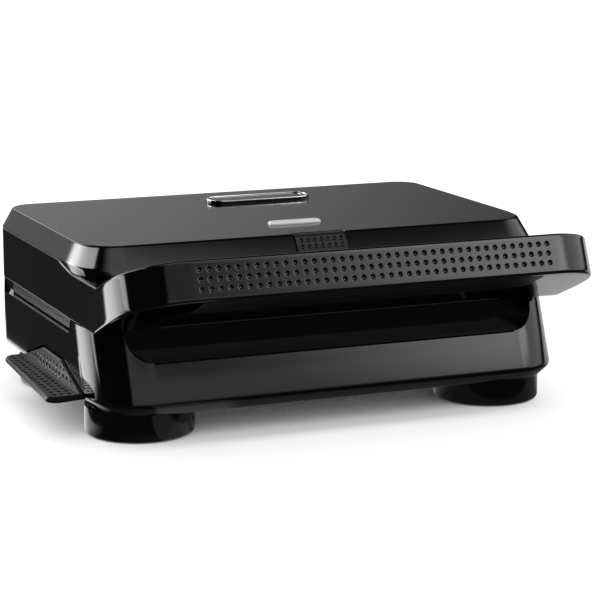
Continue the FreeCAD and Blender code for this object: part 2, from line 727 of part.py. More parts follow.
# Four round feet, each with a pad set into its underside
pads = []
for name, side, along in (
    ("foot_front_left", -1, -foot_front),
    ("foot_front_right", 1, -foot_front),
    ("foot_back_left", -1, foot_back),
    ("foot_back_right", 1, foot_back),
):
    foot = new_body(name)
    sketch = circles(sketch_on(foot, "XY_Plane", pad_thick), [(foot_x * side, along)], foot_radius)
    pad(foot, sketch, base_floor - pad_thick)
    low = pad_thick.value
    round_edges(foot, foot_round, lambda edge: between(edge, None, None, (low, low)))
    sketch = circles(sketch_on(foot, "XY_Plane", pad_thick), [(foot_x * side, along)], pad_radius)
    pocket(foot, sketch, pad_depth, flipped=True)
    keep(foot, name)
    pads.append(rod("z", foot_x * side, along, 0, pad_radius, pad_thick + pad_depth))
keep(join(pads), "foot_pads")

gland = join([
    rod("y", gland_x, back - wall - gland_inside, gland_height, gland_radius, wall + gland_inside),
    rod("y", gland_x, back, gland_height, gland_radius + gland_rim, gland_proud),
])
bore = rod("y", gland_x, back - wall - gland_inside - 1, gland_height, gland_radius - gland_wall,
           gland_inside + wall + gland_proud + 2)
keep(carve(gland, [bore]), "cord_gland")


# Reflector trays and heating tubes
def tray(name, front, flat, rim_end):
    """A sheet tray with an upright rim: flat is the outer face of its sheet."""
    body = new_body(name)
    down = rim_end.value < flat.value
    sketch = outline(body, flat, tray_half, -front, tray_back, tray_corner, tray_corner)
    pad(body, sketch, tray_rim + tray_thick, flipped=down)
    inner = flat - tray_thick if down else flat + tray_thick
    sketch = outline(body, inner, tray_half - tray_thick, -front + tray_thick, tray_back - tray_thick,
                     tray_corner - tray_thick, tray_corner - tray_thick)
    pocket(body, sketch, tray_rim + 1, flipped=not down)
    return body


keep(tray("lower_reflector", lower_tray_front, lower_tray, lower_tray + tray_rim), "lower_reflector")
keep(tray("upper_reflector", upper_tray_front, upper_tray, upper_tray - tray_rim), "upper_reflector")


def heater(name, height):
    """A round tube bent into a U, open at the back."""
    body = new_body(name)
    path = sketch_on(body, "XY_Plane", height)
    half, bend, front, rear = heater_half, heater_bend, -heater_front, heater_back
    h, b, f, r = half.value, bend.value, front.value, rear.value
    turn = math.pi / 2
    normal = Vector(0, 0, 1)
    path.addGeometry(Part.LineSegment(Vector(-h, r, 0), Vector(-h, f + b, 0)), False)
    circle = Part.Circle(Vector(b - h, f + b, 0), normal, b)
    path.addGeometry(Part.ArcOfCircle(circle, math.pi, math.pi + turn), False)
    path.addGeometry(Part.LineSegment(Vector(b - h, f, 0), Vector(h - b, f, 0)), False)
    circle = Part.Circle(Vector(h - b, f + b, 0), normal, b)
    path.addGeometry(Part.ArcOfCircle(circle, -turn, 0), False)
    path.addGeometry(Part.LineSegment(Vector(h, f + b, 0), Vector(h, r, 0)), False)
    for first, end, second, begin in ((0, 2, 1, 1), (1, 2, 2, 1), (2, 2, 3, 1), (3, 2, 4, 1)):
        path.addConstraint(Sketcher.Constraint("Tangent", first, end, second, begin))
    path.addConstraint(Sketcher.Constraint("Vertical", 0))
    path.addConstraint(Sketcher.Constraint("Horizontal", 2))
    for arc in (1, 3):
        bound = path.addConstraint(Sketcher.Constraint("Radius", arc, b))
        path.setExpression("Constraints[%d]" % bound, bend.text)
    hold(path, "DistanceX", -1, 1, 0, 1, -half)
    hold(path, "DistanceY", -1, 1, 0, 1, rear)
    hold(path, "DistanceY", -1, 1, 2, 1, front)
    hold(path, "DistanceX", -1, 1, 4, 2, half)
    hold(path, "DistanceY", -1, 1, 4, 2, rear)
    section = circles(sketch_on(body, "XZ_Plane", -rear), [(-half, height)], heater_radius)
    doc.recompute()
    feature = body.newObject("PartDesign::AdditivePipe", name + "_pipe")
    feature.Profile = section
    feature.Spine = path
    doc.recompute()
    length = 2 * (r - f - b) + 2 * (h - b) + math.pi * b
    print(name, "tube volume over section times length:",
          round(body.Shape.Volume / (math.pi * heater_radius.value ** 2 * length), 4))
    return body


keep(heater("lower_heater", lower_tray + tray_thick + heater_seat + heater_radius), "lower_heater")
keep(heater("upper_heater", upper_tray - tray_thick - heater_seat - heater_radius), "upper_heater")
post_places = [(post_x, -post_front), (-post_x, -post_front), (post_x, post_back), (-post_x, post_back)]
keep(join([rod("z", x, y, rim_floor, post_radius, lower_tray - rim_floor) for x, y in post_places]),
     "lower_posts")
keep(join([rod("z", x, y, upper_tray, post_radius, roof - upper_tray) for x, y in post_places]),
     "upper_posts")
keep(rod("z", 0, plate_middle, lower_tray - thermostat_height, thermostat_radius, thermostat_height),
     "thermostat")
terminal_back = back - terminal_set
keep(block((gland_x - terminal_length / 2, gland_x + terminal_length / 2),
           (terminal_back - terminal_depth, terminal_back), (rim_floor, rim_floor + terminal_height)),
     "terminal_block")
keep(rod("x", -fuse_half, plate_middle, upper_tray + fuse_radius, fuse_radius, fuse_half * 2), "thermal_fuse")


# Ring plates: a flange with six half-ring moulds
def ring_places():
    return [(ring_pitch_x * across, plate_middle + ring_pitch_y * along / 2)
            for along in (-1, 1) for across in (-1, 0, 1)]


def torus(x, y, z, section):
    item = fresh("Part::Torus", "Ring")
    bind(item, "Radius1", ring_radius)
    bind(item, "Radius2", section)
    return place(item, x, y, z)


def plate(name, face, away, extras):
    """face is the moulding face's height; away is +1 when the moulds bulge up, -1 when down."""
    body = new_body(name + "_flange")
    sketch = outline(body, face, plate_half_width, -plate_front, plate_back, plate_corner, plate_corner)
    pad(body, sketch, plate_flange, flipped=away < 0)
    far = face + (ring_bore + ring_skin + 1) * away
    low, high = (far, face) if away < 0 else (face, far)
    slab = block((-plate_half_width, plate_half_width),
                 (-plate_front, plate_back), (low, high))
    bulges = fresh("Part::MultiCommon", "Bulges")
    bulges.Shapes = [join([torus(x, y, face, ring_bore + ring_skin) for x, y in ring_places()]), slab]
    solid = join([body, bulges] + extras)
    return keep(carve(solid, [torus(x, y, face, ring_bore) for x, y in ring_places()]), name)


lug_span = (lever_middle - catch_half - lug_side, lever_middle + catch_half + lug_side)
plate("lower_plate", lower_face, -1, [
    block((-lug_x - lug_thick, -lug_x), lug_span, (lug_low, lower_face - plate_flange / 2)),
    block((-lug_x - lug_thick - catch_thick, -lug_x), lug_span, (lug_low, lug_low + catch_step)),
])
upper_lug_span = (-latch_half - lug_side, latch_half + lug_side)
plate("upper_plate", upper_face, 1, [
    block(upper_lug_span, (lug_front, lug_front + lug_wall), (upper_face + plate_flange / 2, lug_top)),
    block(upper_lug_span, (lug_front, lug_front + lug_reach), (lug_top - lug_rise, lug_top)),
])

# Hinges: two base brackets, two lid arms and two pins on one axis
for name, side in (("left", -1), ("right", 1)):
    middle = hinge_x * side
    outer = knuckle_half + knuckle_gap + ear_width
    inner = knuckle_half + knuckle_gap
    pieces = [block((middle - outer, middle + outer),
                    (niche_front + bracket_room, hinge_y + knuckle_radius),
                    (niche_floor, niche_floor + bracket_thick))]
    for low, high in ((middle - outer, middle - inner), (middle + inner, middle + outer)):
        pieces.append(block((low, high), (hinge_y - knuckle_radius, hinge_y + knuckle_radius),
                            (niche_floor, hinge_z)))
        pieces.append(rod("x", low, hinge_y, hinge_z, knuckle_radius, high - low))
    hole = rod("x", middle - outer - 1, hinge_y, hinge_z, hinge_pin, (outer + 1) * 2)
    keep(carve(join(pieces), [hole]), "hinge_bracket_" + name)
    pieces = [
        rod("x", middle - knuckle_half, hinge_y, hinge_z, knuckle_radius, knuckle_half * 2),
        block((middle - knuckle_half, middle + knuckle_half), (niche_front, hinge_y),
              (hinge_z, hinge_z + knuckle_radius * 2)),
        block((middle - outer, middle + outer), (niche_front, niche_front + bracket_thick),
              (hinge_z + knuckle_radius + arm_lift, niche_top - niche_room)),
    ]
    hole = rod("x", middle - knuckle_half - 1, hinge_y, hinge_z, hinge_pin + pin_fit, (knuckle_half + 1) * 2)
    keep(carve(join(pieces), [hole]), "hinge_arm_" + name)
pin_half = knuckle_half + knuckle_gap + ear_width
keep(join([rod("x", hinge_x * side - pin_half, hinge_y, hinge_z, hinge_pin, pin_half * 2) for side in (-1, 1)]),
     "hinge_pins")

# Lid frame: side panels and handle in one moulding
nose_y = -handle_reach - handle_thick * pitch_sine
nose_z = handle_top - handle_thick * pitch_cosine
arm_meets = -handle_reach + (handle_rise + cap_gap) / slope
under_meets = nose_y + (nose_z - frame_floor) / slope
frame = new_body("lid_frame")
sketch = sketch_on(frame, "YZ_Plane", 0)
polygon(sketch, [
    (back, frame_floor),
    (under_meets, frame_floor),
    (nose_y, nose_z),
    (-handle_reach, handle_top),
    (arm_meets, arm_top - cap_gap),
    (-step_front, arm_top - cap_gap),
    (-step_back, side_top - cap_gap),
    (back, side_top - cap_gap),
])
pad(frame, sketch, half_width * 2, both=True)
hw, by = half_width.value, back.value
tip = -handle_reach.value
round_edges(frame, handle_corner,
            lambda edge: upright(edge) and between(edge, None, (nose_y.value, tip), None))
round_edges(frame, back_corner, lambda edge: upright(edge) and between(edge, None, (by, by), None))
round_edges(frame, handle_edge,
            lambda edge: between(edge, None, (tip, tip), None) and abs(edge.Vertexes[0].Point.x) < hw)
sketch = outline(frame, side_top, inner_half, -frame_cavity_front, frame_cavity_back, cavity_corner, cavity_corner)
pocket(frame, sketch, side_top - frame_shelf)
sketch = outline(frame, frame_shelf, opening_half, -opening_front, opening_back, plate_corner, plate_corner)
pocket(frame, sketch, shelf_thick * 2)
sketch = sketch_on(frame, "YZ_Plane", 0)
polygon(sketch, [
    (-gap_front, frame_floor - 20),
    (front_at(frame_floor - 20), frame_floor - 20),
    (front_at(arm_top + 1), arm_top + 1),
    (front_at(arm_top + 1), handle_top + 5),
    (-gap_front, handle_top + 5),
])
pocket(frame, sketch, gap_half * 2, both=True)
gh, gf = gap_half.value, -gap_front.value
round_edges(frame, gap_corner,
            lambda edge: upright(edge) and between(edge, (-gh, gh), (gf, gf), None)
            and abs(abs(edge.Vertexes[0].Point.x) - gh) < 0.1)


def on_slab(along, down):
    """A point of the handle's section: along runs back from its front face, down runs into it."""
    y = -handle_reach + pitch_cosine * along - pitch_sine * down
    z = handle_top - pitch_sine * along - pitch_cosine * down
    return (y, z)


def under_slab(y, down):
    """The height at depth down below the handle's upper face, at a given y."""
    return (y, handle_top - (y + handle_reach) * slope - down / pitch_cosine)


bar_back = -gap_front - grip_wall
sketch = sketch_on(frame, "YZ_Plane", 0)
polygon(sketch, [
    on_slab(grip_wall, grip_wall),
    on_slab(grip_wall, handle_thick + 2),
    under_slab(bar_back, handle_thick + 2),
    under_slab(bar_back, grip_wall),
])
pocket(frame, sketch, grip_half * 2, both=True)
for side in (1, -1):
    sketch = sketch_on(frame, "XY_Plane", frame_floor - 1)
    polygon(sketch, [
        (hinge_x * side - niche_half, niche_front),
        (hinge_x * side + niche_half, niche_front),
        (hinge_x * side + niche_half, back + 5),
        (hinge_x * side - niche_half, back + 5),
    ])
    pocket(frame, sketch, niche_top - frame_floor + 1, flipped=True)
sketch = sketch_on(frame, "YZ_Plane", 0)
polygon(sketch, [
    (relief_start, frame_floor - 0.1),
    (back + 0.1, frame_floor - 0.1),
    (back + 0.1, frame_floor + hinge_relief),
])
pocket(frame, sketch, half_width * 2 + 2, both=True)
sketch = sketch_on(frame, "XY_Plane", frame_floor - 1)
window_half = latch_half + lug_side + window_room
polygon(sketch, [
    (-window_half, lug_front - window_room),
    (window_half, lug_front - window_room),
    (window_half, -opening_front + 1),
    (-window_half, -opening_front + 1),
])
pocket(frame, sketch, shelf_thick + 2, flipped=True)
lid_screw_places = [
    (half_width - lid_screw_in, frame_cavity_back + lid_screw_set),
    (lid_screw_in - half_width, frame_cavity_back + lid_screw_set),
    (half_width - arm_width / 2, -frame_cavity_front - arm_screw_set),
    (arm_width / 2 - half_width, -frame_cavity_front - arm_screw_set),
]
sketch = circles(sketch_on(frame, "XY_Plane", frame_floor), lid_screw_places, screw_head + screw_fit)
pocket(frame, sketch, screw_head_thick, flipped=True)
sketch = circles(sketch_on(frame, "XY_Plane", frame_floor), lid_screw_places, screw_radius + screw_fit)
pocket(frame, sketch, screw_head_thick + screw_length, flipped=True)
keep(frame, "lid_frame")

screws = []
for across, along in lid_screw_places:
    screws.append(rod("z", across, along, frame_floor, screw_head, screw_head_thick))
    screws.append(rod("z", across, along, frame_floor, screw_radius, screw_head_thick + screw_length))
keep(join(screws), "lid_screws")

# Handle cover: closes the hollow bar from below
grip = new_body("handle_cover")
sketch = sketch_on(grip, "YZ_Plane", 0)
cover_back = bar_back - grip_room
polygon(sketch, [
    on_slab(grip_wall + grip_room, handle_thick - grip_cover),
    on_slab(grip_wall + grip_room, handle_thick),
    under_slab(cover_back, handle_thick),
    under_slab(cover_back, handle_thick - grip_cover),
])
pad(grip, sketch, (grip_half - grip_room) * 2, both=True)
keep(grip, "handle_cover")

# Lid cover: a shallow cap with sloping sides, stepped down at the front
cap = new_body("lid_cover")
cap_lean = (cap_front - top_front) / (lid_top - arm_top)
cap_knee = -cap_front + (side_top - arm_top) * cap_lean
edge_share = cap_edge / (lid_top - side_top)
loft(cap, "AdditiveLoft", [
    outline(cap, arm_top, half_width, -cap_front, back, cap_front_corner, cap_back_corner),
    outline(cap, side_top, half_width, cap_knee, back, cap_front_corner, cap_back_corner),
    outline(cap, lid_top - cap_edge, top_half_width + (half_width - top_half_width) * edge_share,
            -top_front - cap_edge * cap_lean, top_back + (back - top_back) * edge_share,
            top_front_corner, top_back_corner),
    outline(cap, lid_top, top_half_width - cap_edge, -top_front + cap_edge, top_back - cap_edge,
            top_front_corner - cap_edge, top_back_corner - cap_edge),
])
cap_share = (roof - side_top) / (lid_top - side_top)
roof_half = half_width - (half_width - top_half_width) * cap_share - cap_wall
roof_back = back - (back - top_back) * cap_share - cap_wall
roof_front = -cap_front + (roof - arm_top) * cap_lean + cap_wall
loft(cap, "SubtractiveLoft", [
    outline(cap, arm_top, half_width - cap_wall, -cap_front + cap_wall, back - cap_wall,
            cap_front_corner - cap_wall, cap_back_corner - cap_wall),
    outline(cap, side_top, half_width - cap_wall, cap_knee + cap_wall, back - cap_wall,
            cap_front_corner - cap_wall, cap_back_corner - cap_wall),
    outline(cap, roof, roof_half, roof_front, roof_back, top_front_corner, top_back_corner),
])
sketch = sketch_on(cap, "YZ_Plane", 0)
polygon(sketch, [
    (-step_front, arm_top),
    (-step_front, arm_top - 5),
    (back + 2, arm_top - 5),
    (back + 2, side_top),
    (-step_back, side_top),
])
pocket(cap, sketch, half_width * 2 + 4, both=True)
button_gap = button_half + button_room
sketch = sketch_on(cap, "XY_Plane", lid_top + 1)
polygon(sketch, [
    (-button_gap, -cap_front - 2),
    (button_gap, -cap_front - 2),
    (button_gap, -top_front + cap_wall),
    (-button_gap, -top_front + cap_wall),
])
pocket(cap, sketch, lid_top + 2 - arm_top)
for side in (1, -1):
    sketch = sketch_on(cap, "YZ_Plane", button_gap * side)
    polygon(sketch, [
        (-button_pivot_y - button_hub, button_pivot_z - button_hub),
        (-button_pivot_y + button_hub, button_pivot_z - button_hub),
        (-button_pivot_y + button_hub, roof + cap_wall / 2),
        (-button_pivot_y - button_hub + 1, roof + cap_wall / 2),
    ])
    pad(cap, sketch, button_ear, flipped=side < 0)
sketch = circles(sketch_on(cap, "YZ_Plane", 0), [(-button_pivot_y, button_pivot_z)], button_pin)
pocket(cap, sketch, (button_gap + button_ear) * 2, both=True)
lens_front = -lens_middle - lens_depth / 2
lens_back = -lens_middle + lens_depth / 2
sketch = sketch_on(cap, "XY_Plane", lid_top)
polygon(sketch, [
    (-lens_half - lens_room, lens_front - lens_room),
    (lens_half + lens_room, lens_front - lens_room),
    (lens_half + lens_room, lens_back + lens_room),
    (-lens_half - lens_room, lens_back + lens_room),
])
pocket(cap, sketch, cap_wall * 1.5)
keep(cap, "lid_cover")

lens = new_body("indicator_lens")
sketch = outline(lens, roof - lens_below, lens_half, lens_front, lens_back, lens_corner, lens_corner)
pad(lens, sketch, lens_below + cap_wall + lens_proud)
high = (lid_top + lens_proud).value
round_edges(lens, lens_edge, lambda edge: between(edge, None, None, (high, high)))
keep(lens, "indicator_lens")
board_high = roof - lens_below
keep(block((-lens_half - board_margin, lens_half + board_margin),
           (lens_front - board_margin, lens_back + board_margin), (board_high - board_thick, board_high)),
     "indicator_board")

rim = new_body("badge_rim")
sketch = sketch_on(rim, "XY_Plane", lid_top)
rounded(sketch, badge_x - badge_half, badge_x + badge_half, badge_y - badge_radius, badge_y + badge_radius,
        badge_radius - 0.01, badge_radius - 0.01)
pad(rim, sketch, badge_proud)
sketch = sketch_on(rim, "XY_Plane", lid_top + badge_proud)
inner_radius = badge_radius - badge_rim
rounded(sketch, badge_x - badge_half + badge_rim, badge_x + badge_half - badge_rim,
        badge_y - inner_radius, badge_y + inner_radius, inner_radius - 0.01, inner_radius - 0.01)
pocket(rim, sketch, badge_proud)
keep(rim, "badge_rim")
face = new_body("badge_face")
sketch = sketch_on(face, "XY_Plane", lid_top)
face_radius = inner_radius - badge_room
face_half = badge_half - badge_rim - badge_room
rounded(sketch, badge_x - face_half, badge_x + face_half, badge_y - face_radius, badge_y + face_radius,
        face_radius - 0.01, face_radius - 0.01)
pad(face, sketch, badge_proud - badge_sink)
keep(face, "badge_face")

# Release button: a rocking tab on the lid's front slope, with a catch that reaches down to the plate
def slope_y(height):
    """Y of the lid cover's front slope at a height."""
    return -cap_front + (height - arm_top) * cap_lean


button = new_body("release_button")
bridge_foot = button_low + button_lift / 2
bridge_top = bridge_foot + latch_bridge
sketch = sketch_on(button, "YZ_Plane", 0)
polygon(sketch, [
    (slope_y(button_low) - button_proud, button_low),
    (slope_y(button_high) - button_proud, button_high),
    (-button_pivot_y + button_hub - button_room / 2, button_high),
    (-button_pivot_y + button_hub - button_room / 2, button_pivot_z - button_hub / 2),
    (slope_y(button_low) + button_depth, button_low),
])
pad(button, sketch, button_half * 2, both=True)
sketch = sketch_on(button, "YZ_Plane", 0)
circles(sketch, [(-button_pivot_y, button_pivot_z)], button_hub)
pad(button, sketch, button_half * 2, both=True)
sketch = sketch_on(button, "YZ_Plane", 0)
polygon(sketch, [
    (-latch_y, latch_height),
    (-latch_y + latch_thick, latch_height),
    (-latch_y + latch_thick, bridge_top),
    (slope_y(bridge_top) + button_depth / 2, bridge_top),
    (slope_y(bridge_foot) + button_depth / 2, bridge_foot),
    (-latch_y, bridge_foot),
])
pad(button, sketch, latch_half * 2, both=True)
sketch = sketch_on(button, "YZ_Plane", 0)
polygon(sketch, [
    (-latch_y - latch_nose, latch_height),
    (-latch_y + 1, latch_height),
    (-latch_y + 1, latch_height + latch_step),
    (-latch_y - latch_nose, latch_height + latch_step),
])
pad(button, sketch, latch_half * 2, both=True)
sketch = sketch_on(button, "YZ_Plane", 0)
circles(sketch, [(-button_pivot_y, button_pivot_z)], button_pin + pin_fit)
pocket(button, sketch, button_half * 2 + 2, both=True)
keep(button, "release_button")
button_pin_half = button_gap + button_ear
keep(rod("x", -button_pin_half, -button_pivot_y, button_pivot_z, button_pin, button_pin_half * 2), "button_pin")

# Release lever: a wide paddle low on the left side, turning on a pin inside the base
lever = new_body("release_lever")
sketch = sketch_on(lever, "XY_Plane", lever_top - lever_thick)
polygon(sketch, [
    (-lever_inner, lever_middle - lever_half),
    (-lever_inner, lever_middle + lever_half),
    (-lever_reach + lever_taper, lever_middle + lever_half),
    (-lever_reach, lever_middle - lever_half),
])
pad(lever, sketch, lever_thick)
lx = -half_width.value - lever_proud.value
round_edges(lever, lever_corner, lambda edge: upright(edge) and between(edge, (-2 * lever_reach.value, lx), None, None))
sketch = sketch_on(lever, "YZ_Plane", -half_width - lever_proud)
polygon(sketch, lever_arch_points(as_size(0), lever_top - lever_thick))
pad(lever, sketch, half_width + lever_proud - lever_inner)
hub_low = lever_middle - lever_hub_half
hub_high = lever_middle + lever_hub_half
sketch = sketch_on(lever, "XZ_Plane", -hub_high)
circles(sketch, [(-lever_pivot_x, lever_pivot_z)], lever_hub)
pad(lever, sketch, lever_hub_half * 2)
sketch = sketch_on(lever, "XZ_Plane", -hub_high)
polygon(sketch, [
    (-lever_inner - 1, lever_pivot_z - lever_thick / 2),
    (-lever_pivot_x, lever_pivot_z - lever_thick / 2),
    (-lever_pivot_x, lever_pivot_z + lever_thick / 2),
    (-lever_inner - 1, lever_pivot_z + lever_thick / 2),
])
pad(lever, sketch, lever_hub_half * 2)
catch_high = lug_low + catch_step + catch_gap + catch_step
catch_out = -lug_x - lug_thick - catch_thick - catch_gap - catch_thick
sketch = sketch_on(lever, "XZ_Plane", -lever_middle - catch_half)
polygon(sketch, [
    (catch_out, lever_pivot_z),
    (catch_out + catch_thick, lever_pivot_z),
    (catch_out + catch_thick, catch_high - catch_step),
    (-lug_x - lug_thick - catch_gap, catch_high - catch_step),
    (-lug_x - lug_thick - catch_gap, catch_high),
    (catch_out, catch_high),
])
pad(lever, sketch, catch_half * 2)
sketch = sketch_on(lever, "XZ_Plane", -hub_high - 1)
circles(sketch, [(-lever_pivot_x, lever_pivot_z)], lever_pin + pin_fit)
pocket(lever, sketch, lever_hub_half * 2 + 2, flipped=True)
keep(lever, "release_lever")

ear_low = hub_low - side_gap - spring_width - side_gap
ear_high = hub_high + side_gap
ear_span = (-lever_pivot_x - lever_hub + ear_trim, -lever_pivot_x + lever_hub)
pieces = [block(ear_span, (ear_low - ear_thick, ear_high + ear_thick), (rim_floor, rim_floor + ear_foot))]
for along in (ear_low - ear_thick, ear_high):
    pieces.append(block(ear_span,
                        (along, along + ear_thick), (rim_floor, lever_pivot_z + lever_hub)))
pin_start = ear_low - ear_thick
pin_span = ear_high + ear_thick - pin_start
hole = rod("y", -lever_pivot_x, pin_start - 1, lever_pivot_z, lever_pin, pin_span + 2)
keep(carve(join(pieces), [hole]), "lever_bracket")
keep(rod("y", -lever_pivot_x, pin_start, lever_pivot_z, lever_pin, pin_span), "lever_pin")
coil = rod("y", -lever_pivot_x, ear_low, lever_pivot_z, lever_pin + spring_wire, spring_width)
keep(carve(coil, [rod("y", -lever_pivot_x, ear_low - 1, lever_pivot_z, lever_pin, spring_width + 2)]), "lever_spring")

# Everything is checked before anything is written
doc.recompute()
for item in doc.Objects:
    if "Invalid" in item.State or "Error" in item.State:
        raise RuntimeError("%s failed: %s" % (item.Label, item.State))
for item in nodes:
    if item.Shape.isNull() or not item.Shape.isValid() or not item.Shape.Solids:
        raise RuntimeError("%s has no sound shape" % item.Label)
os.makedirs("parts", exist_ok=True)
for item in nodes:
    item.Shape.exportStep("parts/%s.step" % item.Label)
    box = item.Shape.BoundBox
    print("%-22s solids %d  volume %9.1f  x %.1f %.1f  y %.1f %.1f  z %.1f %.1f" % (
        item.Label, len(item.Shape.Solids), item.Shape.Volume,
        box.XMin, box.XMax, box.YMin, box.YMax, box.ZMin, box.ZMax))
print(len(nodes), "sub-parts")
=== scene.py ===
"""Dress for a six-ring donut maker: its visible forms, finishes, stage and camera."""
import bmesh
import bpy
import numpy as np
from bpy.props import FloatProperty, FloatVectorProperty, IntProperty, PointerProperty
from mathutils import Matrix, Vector


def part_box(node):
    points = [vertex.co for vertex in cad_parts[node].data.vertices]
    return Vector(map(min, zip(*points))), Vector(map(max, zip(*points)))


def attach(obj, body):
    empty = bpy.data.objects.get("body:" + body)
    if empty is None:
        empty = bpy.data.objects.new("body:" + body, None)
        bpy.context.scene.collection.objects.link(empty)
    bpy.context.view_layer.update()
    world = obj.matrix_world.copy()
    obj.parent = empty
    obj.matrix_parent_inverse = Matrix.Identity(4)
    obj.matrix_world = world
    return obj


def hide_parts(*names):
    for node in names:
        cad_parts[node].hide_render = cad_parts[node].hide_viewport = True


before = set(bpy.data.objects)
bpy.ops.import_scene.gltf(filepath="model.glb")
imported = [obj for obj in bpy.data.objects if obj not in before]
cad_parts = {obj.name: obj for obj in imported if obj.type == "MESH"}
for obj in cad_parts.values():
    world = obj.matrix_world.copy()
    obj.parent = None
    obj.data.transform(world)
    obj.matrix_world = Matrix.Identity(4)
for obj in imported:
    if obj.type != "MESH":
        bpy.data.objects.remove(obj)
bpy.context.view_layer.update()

bl_info = {
    "name": "Donut Maker Dress",
    "version": (1, 0, 0),
    "blender": (4, 5, 0),
    "location": "3D View > Sidebar > Donut Maker",
    "description": "Builds the visible forms, finishes and stage of a six-ring donut maker",
    "category": "Object",
}

MM = 0.001
DEGREES = float(np.degrees(1.0))

# Lengths are in millimetres where nothing else is said, as the solids have them.
# A height above everything, and how close counts as lying on a face
CLEAR = 200.0
NEAR = 0.1

# Plan of the shells
HALF_WIDTH = 150.0
BACK = 138.0
FRONT_RADIUS = 30.0
BACK_RADIUS = 20.0
TAPER = 1.5
TAPER_RUN = 20.0

# Base: heights, leaning front, lower edge, front recess above its ledge
BASE_BOTTOM = 17.0
BASE_EDGE = 24.0
BASE_TOP = 65.0
EDGE_INSET = 7.0
FRONT_AT_TOP = 72.0
FRONT_LEAN = 16.0 / 41.0
FRONT_SPLIT = 116.0
LEDGE = 47.5
RECESS_WALL = -60.5
RECESS_HALF = 131.0
RECESS_RADIUS = 15.0

# Seat of the lower plate, and the mouth inside it
SEAT_HALF = 147.1
SEAT_FRONT = -50.5
SEAT_BACK = 122.5
SEAT_FLOOR = 57.5
SEAT_INSET = 8.0
MOUTH_BOTTOM = 53.9
MOUTH_HALF = SEAT_HALF - SEAT_INSET

# Low notches in the side walls
NOTCH_SIDE = 147.5
NOTCH_LIP = 147.6
NOTCH_FRONT = -30.0
NOTCH_BACK = 126.0
NOTCH_RUN = 8.0
NOTCH_DROP = 8.2

# Relief of the back edges, and the niches of the hinge arms
RELIEF_START = 132.0
HINGE_WALL = 126.5
NICHE_X = 85.0
NICHE_HALF = 16.0
NICHE_FLOOR = 56.5
NICHE_CEILING = 82.0

# Release lever: its arched top, its paddle and the opening round it
LEVER_FRONT = -49.0
LEVER_BACK = 68.0
LEVER_MIDDLE = (LEVER_FRONT + LEVER_BACK) / 2.0
LEVER_INSIDE = -147.0
LEVER_FACE = -151.6
ARCH_TOP = 38.0
ARCH_DROP = 12.0
ARCH_FLAT = 19.0
ARCH_RUN = 39.5
PADDLE_TOP = ARCH_TOP - ARCH_DROP
PADDLE_REACH = -171.6
PADDLE_SLANT = 6.0
PADDLE_CORNER = 6.0
PADDLE_NOSE = 1.2
PADDLE_THICK = 4.0
OPENING_GAP = 1.4
OPENING_SIDE = -148.9

# Lid frame: its foot, the line that rises along its sides, and the raised handle's sloping slab
LID_BOTTOM = 65.5
ARM_TOP = 93.8
SIDE_TOP = 98.3
LINE_START = -32.0
LINE_RUN = 29.0
SLAB_FRONT = -130.0
SLAB_TOP = 116.3
SLAB_COS = 0.9204
SLAB_SIN = 0.3910
SLAB_TAN = SLAB_SIN / SLAB_COS
SLAB_THICK = 24.0
GRIP_RADIUS = 36.0
BAR_BACK = -105.0
BAR_HALF = 101.0
GAP_BACK = -77.0
GAP_HALF = 110.0
STRIP_HALF = 112.0
STRIP_EDGE = 3.4
STRIP_SUNK = 1.6

# Lid cover: its sloping front, and the notch round the button
COVER_FOOT = 94.0
COVER_TOP = 111.0
COVER_FRONT = -58.5
COVER_TOP_FRONT = -46.0
NOTCH_HALF = 17.0

# Stations that outlines share, so that every ring has a column at each step in the shells
FRONT_COLUMNS = 21
FRONT_MIDDLE = np.r_[0:FRONT_COLUMNS, -FRONT_COLUMNS:0]
SIDE_STATIONS = np.array([-52.0, -50.42, -50.38, -44.0, -37.0, -30.02, -29.98, -26.0, -22.0, -18.0,
                          -10.92, -3.0, 4.0, 9.5, 15.0, 22.0, 29.92, 38.0, 48.0, 58.0, 69.38, 69.42,
                          78.0, 90.0, 102.0, 110.0, 117.0])
BACK_STATIONS = np.array([130.0, 120.0, 110.0, 101.02, 100.98, 92.0, 85.0, 78.0, 69.02, 68.98, 55.0,
                          40.0, 25.0, 12.0, 0.0])

# Shares in which marks change a finish, the height of its grain in metres, and the roughness of a clear coat
DARKER = 0.86
CLOUD_SHARE = 0.34
FLECK_SHARE = 0.5
SCUFF_SHARE = 0.6
SCUFFS_PER_MARK = 4.0
GRAIN_HEIGHT = 0.0004
COAT_ROUGHNESS = 0.05

# The floor in metres: half its side, and how far it lies below the feet
FLOOR_HALF = 8.0
FLOOR_DROP = 0.0003

